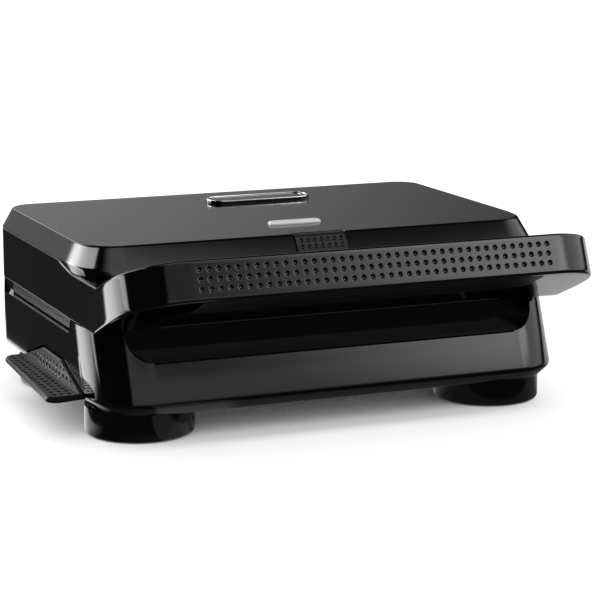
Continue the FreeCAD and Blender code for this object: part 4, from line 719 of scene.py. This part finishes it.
class DONUT_OT_lid_band(bpy.types.Operator):
    """Lid frame: one section carried round the side panels, the arms and the raised handle"""
    bl_idname = "donut.lid_band"
    bl_label = "Lid Frame and Handle"

    def foot_height(self, y):
        """Underside of the frame: level over the base, and along the slab's slope in front of it."""
        start = -(FRONT_AT_TOP - (LID_BOTTOM - BASE_TOP) * FRONT_LEAN)
        return np.maximum(LID_BOTTOM, LID_BOTTOM + (start - y) * SLAB_TAN)

    def path(self):
        """Right half of the frame: for each station the outer top, outer foot, inner top and inner foot.

        On the raised slab a station lies a distance s behind the slab's front edge, so its top is
        (front + s cosine, top - s sine), and its foot one thickness along the slab's normal below.
        The slab's corner turns as radius (sine, 1 - cosine) and ends in the tapered sides; the finger gap
        behind the bar turns as a quarter of an ellipse that reaches its full width early."""
        step, beyond = 0.02, 0.6
        front_x = np.append(np.linspace(0.0, STRIP_HALF - step, 24), [STRIP_HALF + step, STRIP_HALF + beyond])
        slope = 2.0 * TAPER / TAPER_RUN
        turn = np.linspace(0.0, np.pi / 2.0 - slope, 24)
        away = np.linspace(TAPER_RUN, 0.0, 13)[1:]
        corner_end = GRIP_RADIUS * (1.0 - np.sin(slope))
        s = np.concatenate([np.zeros(len(front_x)), GRIP_RADIUS * (1.0 - np.cos(turn)),
                            corner_end + TAPER_RUN - away])
        slab_x = np.concatenate([front_x, HALF_WIDTH - TAPER - GRIP_RADIUS * (np.cos(slope) - np.sin(turn)),
                                 HALF_WIDTH - TAPER * (away / TAPER_RUN) ** 2])
        arm_y = np.linspace(-76.5, -59.0, 12)
        body_y = np.concatenate([np.linspace(-56.4, -33.0, 8), [LINE_START, -24.0, -16.0, -9.0, -3.0],
                                 np.linspace(4.0, 117.0, 14)])
        sine, cosine = arc(12)
        rest_y = np.concatenate([arm_y, body_y, BACK - BACK_RADIUS + BACK_RADIUS * sine,
                                 np.full(len(BACK_STATIONS), BACK)])
        outer_x = np.concatenate([slab_x, np.full(len(arm_y) + len(body_y), HALF_WIDTH),
                                  HALF_WIDTH - BACK_RADIUS + BACK_RADIUS * cosine, BACK_STATIONS])
        outer_y = np.concatenate([SLAB_FRONT + s * SLAB_COS, rest_y])
        rest_z = ARM_TOP + line_rise(rest_y)
        outer_z = np.concatenate([SLAB_TOP - s * SLAB_SIN, rest_z])
        fade_start, fade_run = -77.5, 18.5
        fade = np.clip((outer_y - fade_start) / fade_run, 0.0, 1.0)
        fade = fade * fade * (3.0 - 2.0 * fade)
        foot_y = outer_y - SLAB_THICK * SLAB_SIN * (1.0 - fade)
        gap_sine, gap_cosine = arc(len(slab_x) - len(front_x))
        early = 1.25
        inner_radius = 10.0
        inner_back = 122.0
        inner_flat = MOUTH_HALF - inner_radius
        inner_x = np.concatenate([front_x * BAR_HALF / (HALF_WIDTH - GRIP_RADIUS),
                                  BAR_HALF + (GAP_HALF - BAR_HALF) * np.minimum(gap_sine * early, 1.0),
                                  np.full(len(arm_y), GAP_HALF), np.linspace(GAP_HALF + 2.0, MOUTH_HALF, 4),
                                  np.full(len(body_y) - 4, MOUTH_HALF), inner_flat + inner_radius * cosine,
                                  BACK_STATIONS * inner_flat / BACK_STATIONS[0]])
        inner_y = np.concatenate([np.full(len(front_x), BAR_BACK),
                                  GAP_BACK - (GAP_BACK - BAR_BACK) * gap_cosine,
                                  arm_y, body_y, inner_back - inner_radius + inner_radius * sine,
                                  np.full(len(BACK_STATIONS), inner_back)])
        inner_z = np.concatenate([SLAB_TOP - (inner_y[:len(s)] - SLAB_FRONT) * SLAB_TAN, rest_z])
        return (np.stack([outer_x, outer_y, outer_z], axis=1),
                np.stack([outer_x, foot_y, self.foot_height(foot_y)], axis=1),
                np.stack([inner_x, inner_y, inner_z], axis=1),
                np.stack([inner_x, inner_y, self.foot_height(inner_y)], axis=1))

    def frame_rows(self, edge):
        """The section at each station: corners rounded, back relieved, front sunk for the dotted strip."""
        outer, foot, inner, inner_foot = self.path()
        x, y = outer[:, 0], outer[:, 1]
        back = y > RELIEF_START
        niche = (y > BACK - NEAR) & (np.abs(x - NICHE_X) < NICHE_HALF)
        mid_outer, mid_inner = (foot + (inner_foot - foot) * share for share in (0.3, 0.6))
        mid_outer[back, 0] = x[back]
        mid_outer[back, 1] = RELIEF_START
        mid_inner[back, 0] = x[back]
        mid_inner[back, 1] = HINGE_WALL
        foot[:, 2] += np.maximum(y - RELIEF_START, 0.0)
        foot[niche, 2] = NICHE_CEILING
        mid_outer[niche, 1:] = HINGE_WALL, NICHE_CEILING
        strip = (x < STRIP_HALF) & (y < SLAB_FRONT + NEAR)
        sunk = strip[:, None] * np.array([0.0, SLAB_COS, -SLAB_SIN]) * STRIP_SUNK
        down = foot - outer
        edge_share = STRIP_EDGE / np.linalg.norm(down, axis=1, keepdims=True)
        lower_edge = outer + down * (1.0 - edge_share)
        upper_edge = outer + down * edge_share
        knots = [foot, lower_edge, lower_edge + sunk, upper_edge + sunk, upper_edge, outer, inner, inner_foot,
                 mid_inner, mid_outer]
        radii = [edge, 0.0, 0.0, 0.0, 0.0, edge, edge, edge, 0.0, 0.0]
        return soften([mirrored(knot) for knot in knots], radii, steps=6, closed=True)

    def dotted_front(self, sizes):
        """Front of the handle: a sheet sunk by the dimples, its long edges turned back as a skirt."""
        columns = (np.arange(sizes.dot_columns) - (sizes.dot_columns - 1) / 2.0) * sizes.dot_pitch / MM
        row_pitch, row_lift, skirt = 5.7, 0.3, 1.4
        dot_rows = SLAB_THICK / 2.0 - row_lift + np.array([-row_pitch, 0.0, row_pitch])
        u, v = np.meshgrid(np.linspace(-STRIP_HALF, STRIP_HALF, 640),
                           np.linspace(STRIP_EDGE, SLAB_THICK - STRIP_EDGE, 50))
        depth = bowls(u, v, columns, dot_rows, sizes.dot_radius / MM, sizes.dot_depth / MM)
        ends = ((1, 1), (0, 0))
        sheet = on_slab(np.pad(u, ends, mode="edge"), np.pad(depth, ends, constant_values=skirt),
                        np.pad(v, ends, mode="edge"))
        return sheet[::-1]

    def execute(self, context):
        """The frame closes over the base with a wall below the cover's front, and a shelf behind it."""
        sizes = context.scene.donut_sizes
        wall_half, wall_foot, wall_front, wall_back, wall_top = 111.0, -71.8, -60.7, -56.6, 93.7
        shelf_half, shelf_front, shelf_back, shelf_top, inset = 138.0, -62.0, -43.0, 69.0, 0.05
        wall_section = ((wall_foot, LID_BOTTOM), (wall_front, wall_top), (wall_back, wall_top),
                        (wall_back, shelf_top), (shelf_back, shelf_top), (shelf_back, LID_BOTTOM))
        shelf_section = ((shelf_front, LID_BOTTOM + inset), (shelf_front, shelf_top),
                         (shelf_back - inset, shelf_top), (shelf_back - inset, LID_BOTTOM + inset))
        wall = soften(across(np.linspace(-wall_half, wall_half, 5), wall_section),
                      [1.6, 1.0, 0.5, 0.0, 0.0, 0.0], closed=True)
        shelf = across(np.linspace(-shelf_half, shelf_half, 5), shelf_section)
        grids = [(self.frame_rows(sizes.grip_edge / MM), True, True)]
        grids += [(capped(rows.transpose(1, 0, 2)), False, True) for rows in (wall, shelf)]
        make_piece("lid_frame_shell", grids, "gloss_moulding", "lid", ["lid_frame"],
                   crease=34.0)
        make_piece("handle_dotted_front", [(self.dotted_front(sizes), True, False)], "grip_moulding", "lid",
                   (), crease=60.0)
        return {"FINISHED"}


class DONUT_OT_lid_underside(bpy.types.Operator):
    """Underside of the lid: the cover plate below the handle, and the heads of the lid's screws"""
    bl_idname = "donut.lid_underside"
    bl_label = "Handle Cover and Lid Screws"

    def plate(self):
        """Round-cornered outlines on the slab's underside, stacked and drawn in at the lower edge."""
        top, bottom = SLAB_THICK - 2.0, SLAB_THICK + 0.2
        half_x, half_y, corner = 105.9, 14.6, 4.0
        levels = []
        for inset, below in ((0.0, top), (0.0, bottom), (0.6, bottom), (2.0, bottom)):
            outline = rounded_plan((0.0, 18.4), half_x - inset, half_y - inset, corner - inset)
            levels.append(on_slab(*outline.T, below))
        return capped(soften(levels, [0.0, 0.3, 0.0, 0.0], steps=3))

    def heads(self):
        """Screw heads: a disc of height over radius and turn, domed as (1 - (r / radius)^6)^0.5, with a cross
        sunk where either offset from the middle is small."""
        lo, hi = box_of("lid_screws")
        radius, dome, cross_half, cross_reach, cross_depth, ease = 3.2, 0.3, 0.55, 2.2, 0.9, 0.2
        skirt = np.array([0.0, 0.0, 1.5])
        front_x = 118.0
        out = np.linspace(0.0, radius, 25)[:, None]
        turn = circle(96)
        dx, dy = out * np.cos(turn), out * np.sin(turn)
        cross = np.clip((cross_half - np.minimum(np.abs(dx), np.abs(dy))) / ease, 0.0, 1.0)
        cross = cross * np.clip((cross_reach - out) / ease, 0.0, 1.0)
        crown = dome * np.sqrt(np.clip(1.0 - (out / radius) ** 6, 0.0, 1.0))
        z = LID_BOTTOM - crown + cross_depth * cross
        grids = []
        for x, y in ((front_x, hi[1] - radius), (hi[0] - radius, lo[1] + radius)):
            for side in (-1.0, 1.0):
                top = np.stack([side * x + dx, y + dy, z], axis=-1)
                grids.append((capped(np.concatenate([top, top[-1:] + skirt]), first=False), False, True))
        return grids

    def execute(self, context):
        """The plate lies along the slab's slope, and the heads on the frame's level foot."""
        make_piece("handle_cover_plate", [(self.plate(), False, True)], "satin_cover", "lid",
                   ["handle_cover"], crease=50.0)
        make_piece("lid_screw_heads", self.heads(), "plated_steel", "lid", ["lid_screws"],
                   crease=40.0)
        return {"FINISHED"}


class DONUT_OT_lid_cover(bpy.types.Operator):
    """Lid cover: plan outlines stacked up a sloping edge, with a notch for the button"""
    bl_idname = "donut.lid_cover"
    bl_label = "Lid Cover"

    def level(self, height, half, front, back, front_radius, back_radius):
        """One closed ring of the cover, whose front is split at the notch's sides."""
        return loop_at(half_outline(half, front, back, front_radius, back_radius, NOTCH_HALF, TAPER), height)

    def execute(self, context):
        """Its foot follows a low line at the front that rises to the side panels' height."""
        band_top = 98.5
        notch_wall, notch_top = -43.5, -41.4
        notch_top_half = 19.4
        inside = self.level(COVER_FOOT, half=146.0, front=-54.0, back=133.0, front_radius=23.0,
                            back_radius=16.0)
        foot = self.level(COVER_FOOT, HALF_WIDTH, COVER_FRONT, BACK, front_radius=27.0,
                          back_radius=BACK_RADIUS)
        band = self.level(band_top, HALF_WIDTH, front=-55.2, back=BACK, front_radius=25.1,
                          back_radius=BACK_RADIUS)
        top = self.level(COVER_TOP, half=144.0, front=COVER_TOP_FRONT, back=130.0, front_radius=20.0,
                         back_radius=15.0)
        lip = self.level(COVER_TOP, half=141.8, front=-43.4, back=127.8, front_radius=18.5,
                         back_radius=13.5)
        for ring_points in (inside, foot):
            ring_points[:, 2] += line_rise(foot[:, 1])
        for ring_points in (inside, foot, band, top):
            ring_points[FRONT_MIDDLE, 1] = np.maximum(ring_points[FRONT_MIDDLE, 1], notch_wall)
        lip[FRONT_MIDDLE, 1] = notch_top
        lip[FRONT_COLUMNS, 0] = notch_top_half
        lip[-FRONT_COLUMNS - 1, 0] = -notch_top_half
        roof = lip * np.array([0.93, 0.93, 1.0])
        edge = context.scene.donut_sizes.lid_edge / MM
        rows = soften([inside, foot, band, top, lip, roof], [0.0, 0.5, 1.2, edge, 0.0, 0.0])
        make_piece("lid_cover_shell", [(capped(rows), False, True)], "satin_moulding", "lid", ["lid_cover"],
                   crease=30.0)
        return {"FINISHED"}


class DONUT_OT_lid_trim(bpy.types.Operator):
    """Trim on the lid: the indicator bar, and the bare badge with its bright rim"""
    bl_idname = "donut.lid_trim"
    bl_label = "Indicator and Badge"

    def indicator(self):
        """Bar whose plan is half size times (cosine, sine), each to a small power to fill its box."""
        lo, hi = box_of("indicator_lens")
        middle, half = (lo + hi)[:2] / 2.0, (hi - lo)[:2] / 2.0
        turn = circle(64)
        plan = np.stack([signed_power(np.cos(turn), 0.22), signed_power(np.sin(turn), 0.45)], axis=1)
        edge = 1.0
        levels = [ring(middle + plan * (half - inset), height)
                  for inset, height in ((0.0, lo[2]), (0.0, hi[2] - edge), (edge, hi[2]), (1.4, hi[2]))]
        return capped(soften(levels, [0.0, 0.5, 0.3, 0.0], steps=4))

    def badge(self):
        """Rim and face: bars with round ends, drawn in by an inset and let down by a drop, stacked."""
        lo, hi = box_of("badge_rim")
        centre, half = (lo + hi)[:2] / 2.0, (hi - lo)[:2] / 2.0

        def level(inset, drop):
            return ring(pill(centre, half[0] - inset, half[1] - inset), hi[2] - drop)

        rim = [level(0.2, 0.7), level(0.3, 0.1), level(0.9, 0.0), level(1.5, 0.1), level(1.7, 0.7)]
        face = [level(0.0, hi[2] - lo[2]), level(0.0, 0.6), level(1.8, 0.6), level(2.0, 0.8), level(3.2, 0.8)]
        return (soften(rim, [0.0, 0.2, 0.3, 0.2, 0.0], steps=3),
                capped(soften(face, [0.0, 0.3, 0.0, 0.0, 0.0], steps=3)))

    def execute(self, context):
        """Outlines are stacked and their upper edges rounded."""
        rim, face = self.badge()
        make_piece("indicator_bar", [(self.indicator(), False, True)], "frosted_lens", "lid",
                   ["indicator_lens"], crease=50.0)
        make_piece("badge_bright_rim", [(rim, True, True)], "bright_rim", "lid", ["badge_rim"],
                   crease=50.0)
        make_piece("badge_bare_face", [(face, False, True)], "gloss_moulding", "lid", ["badge_face"],
                   crease=50.0)
        return {"FINISHED"}


class DONUT_OT_lever(bpy.types.Operator):
    """Release lever: a section of arch, paddle and underside carried along its length, with dimples"""
    bl_idname = "donut.lever"
    bl_label = "Release Lever"

    def tab(self, sizes):
        """At each station along the length the arch height and the paddle's reach set the section.

        The paddle's outer corners turn as radius - (radius^2 - distance^2)^0.5."""
        y = np.linspace(LEVER_FRONT, LEVER_BACK, 270)
        ease, face_ease, ramp_slant, back_foot, plain_top = 0.6, 0.4, 1.6, 23.0, 1.2
        near_end = np.minimum(y - LEVER_FRONT, LEVER_BACK - y)
        into_corner = np.maximum(PADDLE_CORNER - near_end, 0.0)
        corner = PADDLE_CORNER - np.sqrt(np.maximum(PADDLE_CORNER ** 2 - into_corner ** 2, 0.0))
        slant = (y - LEVER_FRONT) / (LEVER_BACK - LEVER_FRONT) * PADDLE_SLANT
        nose = PADDLE_REACH + slant + corner + PADDLE_NOSE
        arch = lever_arch(y)
        shoulder = along(y, ((LEVER_INSIDE, back_foot), (LEVER_INSIDE, arch - ease),
                             (LEVER_INSIDE - ease, arch), (LEVER_FACE + face_ease, arch)))
        down = np.linspace(0.0, 1.0, 30)[:, None]
        ramp_z = arch + (PADDLE_TOP - arch) * down
        ramp_x = LEVER_FACE - ramp_slant * down * (arch - PADDLE_TOP) / ARCH_DROP
        out = np.linspace(0.0, 1.0, 46)[1:, None]
        paddle_x = ramp_x[-1] + (nose - ramp_x[-1]) * out
        turn = np.linspace(0.0, np.pi, 9)[1:, None]
        half_thick = PADDLE_THICK / 2.0
        rim_x = nose - PADDLE_NOSE * np.sin(turn)
        rim_z = PADDLE_TOP - half_thick + half_thick * np.cos(turn)

        dots_y = -44.0 + np.arange(17) * 6.75
        dot = sizes.tab_dot_radius / MM, sizes.tab_dot_depth / MM
        ramp_y = np.broadcast_to(y, ramp_x.shape)
        paddle_y = np.broadcast_to(y, paddle_x.shape)
        ramp_dip = bowls(ramp_y, ramp_z, dots_y, np.array([29.6, 33.6]), *dot)
        ramp_dip = np.where(ramp_z < arch - plain_top, ramp_dip, 0.0)
        paddle_dip = bowls(paddle_y, paddle_x, dots_y, np.array([-156.4, -161.0, -165.4]), *dot)
        ramp = np.stack([ramp_x + ramp_dip, ramp_y, np.minimum(ramp_z, arch - face_ease)], axis=-1)
        paddle = np.stack([paddle_x, paddle_y, PADDLE_TOP - paddle_dip], axis=-1)
        rim = np.stack([rim_x, np.broadcast_to(y, rim_x.shape), np.broadcast_to(rim_z, rim_x.shape)], axis=-1)
        return np.concatenate([shoulder, ramp, paddle, rim])

    def hub(self):
        """Sleeve round the lever's pin: circles about the pin, with small chamfers at both ends."""
        centre_x, centre_z = -138.0, 30.0
        front, back, radius, chamfer, tip = -19.0, 38.0, 5.0, 0.6, 0.01
        turn = circle(40)
        profile = ((tip, front), (radius - chamfer, front), (radius, front + chamfer),
                   (radius, back - chamfer), (radius - chamfer, back), (tip, back))
        return np.stack([np.column_stack([centre_x + r * np.cos(turn), np.full(len(turn), y),
                                          centre_z + r * np.sin(turn)]) for r, y in profile])

    def execute(self, context):
        """The tab is joined to the sleeve round its pin by a flat bar."""
        tab = self.tab(context.scene.donut_sizes)
        bar = along(np.array([-12.0, 31.0]), ((-150.0, 28.0), (-136.0, 28.0), (-136.0, 32.0), (-150.0, 32.0)))
        grids = [(capped(rows.transpose(1, 0, 2)), False, True) for rows in (tab, bar)]
        make_piece("release_lever_tab", grids + [(self.hub(), False, True)], "tab_moulding", "lever",
                   ["release_lever"], crease=55.0)
        return {"FINISHED"}


class DONUT_OT_button(bpy.types.Operator):
    """Release button: a section carried across its width, its front face dimpled"""
    bl_idname = "donut.button"
    bl_label = "Release Button"

    def tab(self, sizes):
        """The face lies along the lid cover's slope, a little proud of it; dimples sink square to it."""
        run, rise = COVER_TOP_FRONT - COVER_FRONT, COVER_TOP - COVER_FOOT
        sine, cosine = np.array([run, rise]) / np.hypot(run, rise)
        proud = 1.2
        half = 16.3
        x = np.linspace(-half, half, 96)
        face_x, face_z = np.meshgrid(x, np.linspace(97.4, 109.8, 40))
        face_y = COVER_FRONT + (face_z - COVER_FOOT) * run / rise - proud
        dots_x = (np.arange(7) - 3.0) * 4.3
        dip = bowls(face_x, face_z, dots_x, np.array([100.2, 104.2, 107.6]), sizes.button_dot_radius / MM,
                    sizes.tab_dot_depth / MM)
        face = np.stack([face_x, face_y + dip * cosine, face_z - dip * sine], axis=-1)
        low = across(x, ((-44.6, 99.0), (-46.0, 96.6), (-56.6, 96.6), (-57.0, 96.9)))
        high = across(x, ((-47.2, 110.3), (-46.8, 110.4), (-44.6, 110.2)))
        return np.concatenate([low, face, high])

    def execute(self, context):
        """A flat arm reaches down from the tab to the foot of the button's box."""
        foot = box_of("release_button")[0][2] + 0.2
        arm_plan = np.array([(-6.0, -49.5), (6.0, -49.5), (6.0, -46.5), (-6.0, -46.5)])
        arm = np.stack([ring(arm_plan, height) for height in (foot, 100.0)])
        tab = self.tab(context.scene.donut_sizes)
        make_piece("release_button_tab", [(capped(tab.transpose(1, 0, 2)), False, True),
                                          (capped(arm), False, True)],
                   "tab_moulding", "button", ["release_button"], crease=50.0)
        return {"FINISHED"}


class DONUT_OT_finishes(bpy.types.Operator):
    """Finishes of the solids that show as they are"""
    bl_idname = "donut.finishes"
    bl_label = "Finishes of the Solids"

    def execute(self, context):
        """Each node gets the finish that its name stands beside."""
        for finish, nodes in SOLIDS.items():
            for node in nodes:
                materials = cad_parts[node].data.materials
                materials.clear()
                materials.append(finish_of(finish))
        return {"FINISHED"}


def grey(level):
    """A grey of one level in linear light."""
    return (level, level, level, 1.0)


def panel(tree, level, *steps):
    """A level times one smooth step for each (value, where it is nothing, where it is full)."""
    for value, low, high in steps:
        node = add_node(tree, "ShaderNodeMapRange", interpolation_type="SMOOTHSTEP",
                        From_Min=low, From_Max=high)
        tree.links.new(value, node.inputs["Value"])
        level = math_node(tree, "MULTIPLY", node.outputs["Result"], level)
    return level


def place_axes(tree, space):
    """The three parts of a texture place."""
    place = add_node(tree, "ShaderNodeTexCoord")
    parts = add_node(tree, "ShaderNodeSeparateXYZ")
    tree.links.new(place.outputs[space], parts.inputs["Vector"])
    return parts.outputs


def total(tree, values):
    """The sum of sockets."""
    result = 0.0
    for value in values:
        result = math_node(tree, "ADD", value, result)
    return result


class DONUT_OT_stage(bpy.types.Operator):
    """Stage: pale floor, soft lights, white surroundings and the camera"""
    bl_idname = "donut.stage"
    bl_label = "Stage"

    def execute(self, context):
        """Camera, floor, surroundings and one soft lamp overhead."""
        scene = context.scene
        scene.view_settings.view_transform = "Standard"
        self.camera(scene, scene.donut_studio)
        self.floor(scene)
        self.surround(scene, scene.donut_studio)
        lamp = bpy.data.lights.new("overhead", "SUN")
        lamp.energy = 0.9
        lamp.angle = 1.3
        holder = bpy.data.objects.new("overhead", lamp)
        scene.collection.objects.link(holder)
        holder.rotation_euler = (0.12, -0.10, 0.0)
        holder.visible_glossy = False
        return {"FINISHED"}

    def camera(self, scene, studio):
        """The camera stands at distance (sine azimuth, -cosine azimuth) about its aim point."""
        aim = Vector(studio.aim)
        flat = studio.distance * np.cos(studio.elevation)
        place = aim + Vector((flat * np.sin(studio.azimuth), -flat * np.cos(studio.azimuth),
                              studio.distance * np.sin(studio.elevation)))
        lens = bpy.data.cameras.new("camera")
        lens.lens = studio.lens
        lens.sensor_width = 36.0
        lens.clip_end = 60.0
        camera = bpy.data.objects.new("camera", lens)
        scene.collection.objects.link(camera)
        camera.location = place
        camera.rotation_euler = (aim - place).to_track_quat("-Z", "Y").to_euler()
        scene.camera = camera

    def floor(self, scene):
        """A wide matt square just below the feet."""
        corners = [(x * FLOOR_HALF, y * FLOOR_HALF, -FLOOR_DROP)
                   for x, y in ((-1, -1), (1, -1), (1, 1), (-1, 1))]
        mesh = bpy.data.meshes.new("floor")
        mesh.from_pydata(corners, [], [(0, 1, 2, 3)])
        floor = bpy.data.objects.new("floor", mesh)
        scene.collection.objects.link(floor)
        paint = bpy.data.materials.new("floor_paint")
        paint.use_nodes = True
        shader = paint.node_tree.nodes["Principled BSDF"]
        shader.inputs["Roughness"].default_value = 0.9
        shader.inputs["Specular IOR Level"].default_value = 0.0
        self.glow(paint.node_tree, shader)
        mesh.materials.append(paint)

    def glow(self, tree, shader):
        """The floor's own light: to the camera, white with a painted contact shadow that darkens it where
        something stands near; to gloss, lit patches at the left, right, beside and ahead of the base, each a
        smooth step in turn or place."""
        rays = add_node(tree, "ShaderNodeLightPath")
        shiny = rays.outputs["Is Glossy Ray"]
        x, y = place_axes(tree, "Object")[:2]
        aside = math_node(tree, "ADD", x, 0.150)
        ahead = math_node(tree, "MULTIPLY", math_node(tree, "ADD", y, 0.020), -1.0)
        turn = math_node(tree, "MULTIPLY", math_node(tree, "ARCTAN2", aside, ahead), DEGREES)
        patches = (
            # Far left
            panel(tree, 4.0, (turn, -154.5, -151.0), (turn, -106.0, -124.0), (x, -0.185, -0.215)),
            # Right
            panel(tree, 1.0, (x, -0.15, 0.45), (y, -0.06, -0.02)),
            # Close beside the left wall
            panel(tree, 1.3, (x, -0.122, -0.130), (x, -0.180, -0.168), (y, -0.06, -0.03), (y, 0.34, 0.28)),
            # Ahead of the left front foot
            panel(tree, 0.24, (x, -0.112, -0.108), (x, -0.055, -0.07), (y, -0.062, -0.068),
                  (y, -0.20, -0.15)),
            # Below the front edge
            panel(tree, 0.12, (x, -0.16, -0.10), (y, -0.098, -0.086), (y, -0.04, -0.05)),
        )
        lit = math_node(tree, "MULTIPLY", total(tree, patches), shiny)
        # Painted contact shadow: the share of open surroundings, lifted as 3.5 a / (1 + 2.5 a) so that only
        # close contact darkens the white.
        near = add_node(tree, "ShaderNodeAmbientOcclusion", samples=8, Distance=0.15).outputs["AO"]
        painted_shade_factor = math_node(tree, "DIVIDE", math_node(tree, "MULTIPLY", near, 3.5),
                               math_node(tree, "ADD", math_node(tree, "MULTIPLY", near, 2.5), 1.0))
        # White that the camera sees, darkened by the painted contact shadow.
        white = math_node(tree, "MULTIPLY", painted_shade_factor, 0.85)
        seen = math_node(tree, "MULTIPLY", rays.outputs["Is Camera Ray"], white)
        tree.links.new(math_node(tree, "ADD", lit, seen), shader.inputs["Emission Strength"])
        shader.inputs["Emission Color"].default_value = grey(1.0)
        # Painted shade in reflections: the floor is 0.42 grey to other rays but 0.05 to glossy rays, so it
        # shows dark in gloss.
        dim = add_node(tree, "ShaderNodeMix", data_type="RGBA")
        dim.inputs["A"].default_value = grey(0.42)
        dim.inputs["B"].default_value = grey(0.05)
        tree.links.new(shiny, dim.inputs["Factor"])
        tree.links.new(dim.outputs["Result"], shader.inputs["Base Color"])

    def surround(self, scene, studio):
        """White to the camera, even to matt surfaces, and to gloss a dim room with soft panels, each a smooth
        step in turn and rise, the angles in degrees round the object and above the floor."""
        world = bpy.data.worlds.new("surroundings")
        scene.world = world
        world.use_nodes = True
        tree = world.node_tree
        back = tree.nodes["Background"]
        x, y, z = place_axes(tree, "Generated")
        turn = math_node(tree, "ARCTAN2", x, math_node(tree, "MULTIPLY", y, -1.0))
        turn = math_node(tree, "MULTIPLY", turn, DEGREES)
        rise = math_node(tree, "MULTIPLY", math_node(tree, "ARCSINE", z), DEGREES)
        tilt = math_node(tree, "ADD", turn, math_node(tree, "MULTIPLY", rise, 0.8))
        climb = math_node(tree, "ADD", math_node(tree, "MULTIPLY", turn, 0.605), 104.6)
        line = math_node(tree, "SUBTRACT", rise, climb)
        panels = (
            # Low soft box at the left, its front edge tilted
            panel(tree, 5.4 * studio.strip, (turn, -156.0, -150.0), (tilt, -103.0, -109.0),
                  (rise, -3.0, -1.0), (rise, 12.0, 8.0)),
            # Slanting strip at the left
            panel(tree, 6.8 * studio.strip, (turn, -158.0, -153.0), (turn, -86.0, -92.0), (line, -8.0, -6.0),
                  (line, 8.0, 6.0)),
            # Card at the front right, and the broad one at the right
            panel(tree, 3.6 * studio.card, (turn, 23.0, 36.0), (turn, 60.0, 44.0), (rise, 14.0, 22.0),
                  (rise, 54.0, 38.0)),
            panel(tree, 1.0 * studio.card, (turn, 40.0, 54.0), (turn, 124.0, 108.0), (rise, 2.0, 8.0),
                  (rise, 54.0, 36.0)),
            # Canopy over the front
            panel(tree, 1.25, (turn, -70.0, -30.0), (turn, 47.0, 30.0), (rise, 38.0, 50.0),
                  (rise, 85.0, 65.0)),
            # Glint and pale wall behind
            panel(tree, 1.2, (y, 0.5, 0.7), (turn, -150.0, -160.0), (rise, 11.0, 16.0), (rise, 50.0, 35.0)),
            panel(tree, 0.40, (y, 0.3, 0.8), (x, 0.62, 0.2), (rise, 0.0, 3.0), (rise, 45.0, 25.0)),
            # Fill ahead, and the narrow low strip in it
            panel(tree, 0.40, (turn, -34.0, -27.0), (turn, 124.0, 108.0), (rise, 2.0, 8.0),
                  (rise, 62.0, 42.0)),
            panel(tree, 0.33, (turn, -34.0, -27.0), (turn, 60.0, 44.0), (rise, 17.0, 22.0),
                  (rise, 29.5, 26.5)),
        )
        dim_room = 0.01
        gloss = math_node(tree, "ADD", total(tree, panels), dim_room)
        matt_level = 0.68
        rays = add_node(tree, "ShaderNodeLightPath")
        seen = math_node(tree, "MAXIMUM", rays.outputs["Is Camera Ray"], rays.outputs["Is Transmission Ray"])
        level = math_node(tree, "ADD", math_node(tree, "MULTIPLY", seen, 1.0 - matt_level), matt_level)
        shiny = rays.outputs["Is Glossy Ray"]
        matt = math_node(tree, "MULTIPLY", level, math_node(tree, "SUBTRACT", 1.0, shiny))
        glossy = math_node(tree, "MULTIPLY", gloss, shiny)
        tree.links.new(math_node(tree, "ADD", matt, glossy), back.inputs["Strength"])
        back.inputs["Color"].default_value = grey(1.0)


class DONUT_PT_panel(bpy.types.Panel):
    """Sidebar list of the steps that build the dress"""
    bl_idname = "DONUT_PT_panel"
    bl_label = "Donut Maker"
    bl_space_type = "VIEW_3D"
    bl_region_type = "UI"
    bl_category = "Donut Maker"

    def draw(self, context):
        """Settings first, then one button for each step."""
        for settings in (context.scene.donut_sizes, context.scene.donut_colours, context.scene.donut_studio):
            column = self.layout.column(align=True)
            for key in settings.__annotations__:
                column.prop(settings, key)
        for step in STEPS:
            self.layout.operator(step.bl_idname)


STEPS = (DONUT_OT_base, DONUT_OT_feet, DONUT_OT_lid_band, DONUT_OT_lid_underside, DONUT_OT_lid_cover,
         DONUT_OT_lid_trim, DONUT_OT_lever, DONUT_OT_button, DONUT_OT_finishes, DONUT_OT_stage)
CLASSES = (DonutMakerSizes, DonutMakerColours, DonutMakerStudio, *STEPS, DONUT_PT_panel)


def register():
    """Makes the classes and the scene's settings known."""
    for item in CLASSES:
        bpy.utils.register_class(item)
    bpy.types.Scene.donut_sizes = PointerProperty(type=DonutMakerSizes)
    bpy.types.Scene.donut_colours = PointerProperty(type=DonutMakerColours)
    bpy.types.Scene.donut_studio = PointerProperty(type=DonutMakerStudio)


def unregister():
    """Takes the settings and the classes away again."""
    del bpy.types.Scene.donut_sizes
    del bpy.types.Scene.donut_colours
    del bpy.types.Scene.donut_studio
    for item in reversed(CLASSES):
        bpy.utils.unregister_class(item)


def main():
    """Builds every piece and the stage."""
    register()
    for step in STEPS:
        group, call = step.bl_idname.split(".")
        getattr(getattr(bpy.ops, group), call)()


if __name__ == "__main__":
    main()
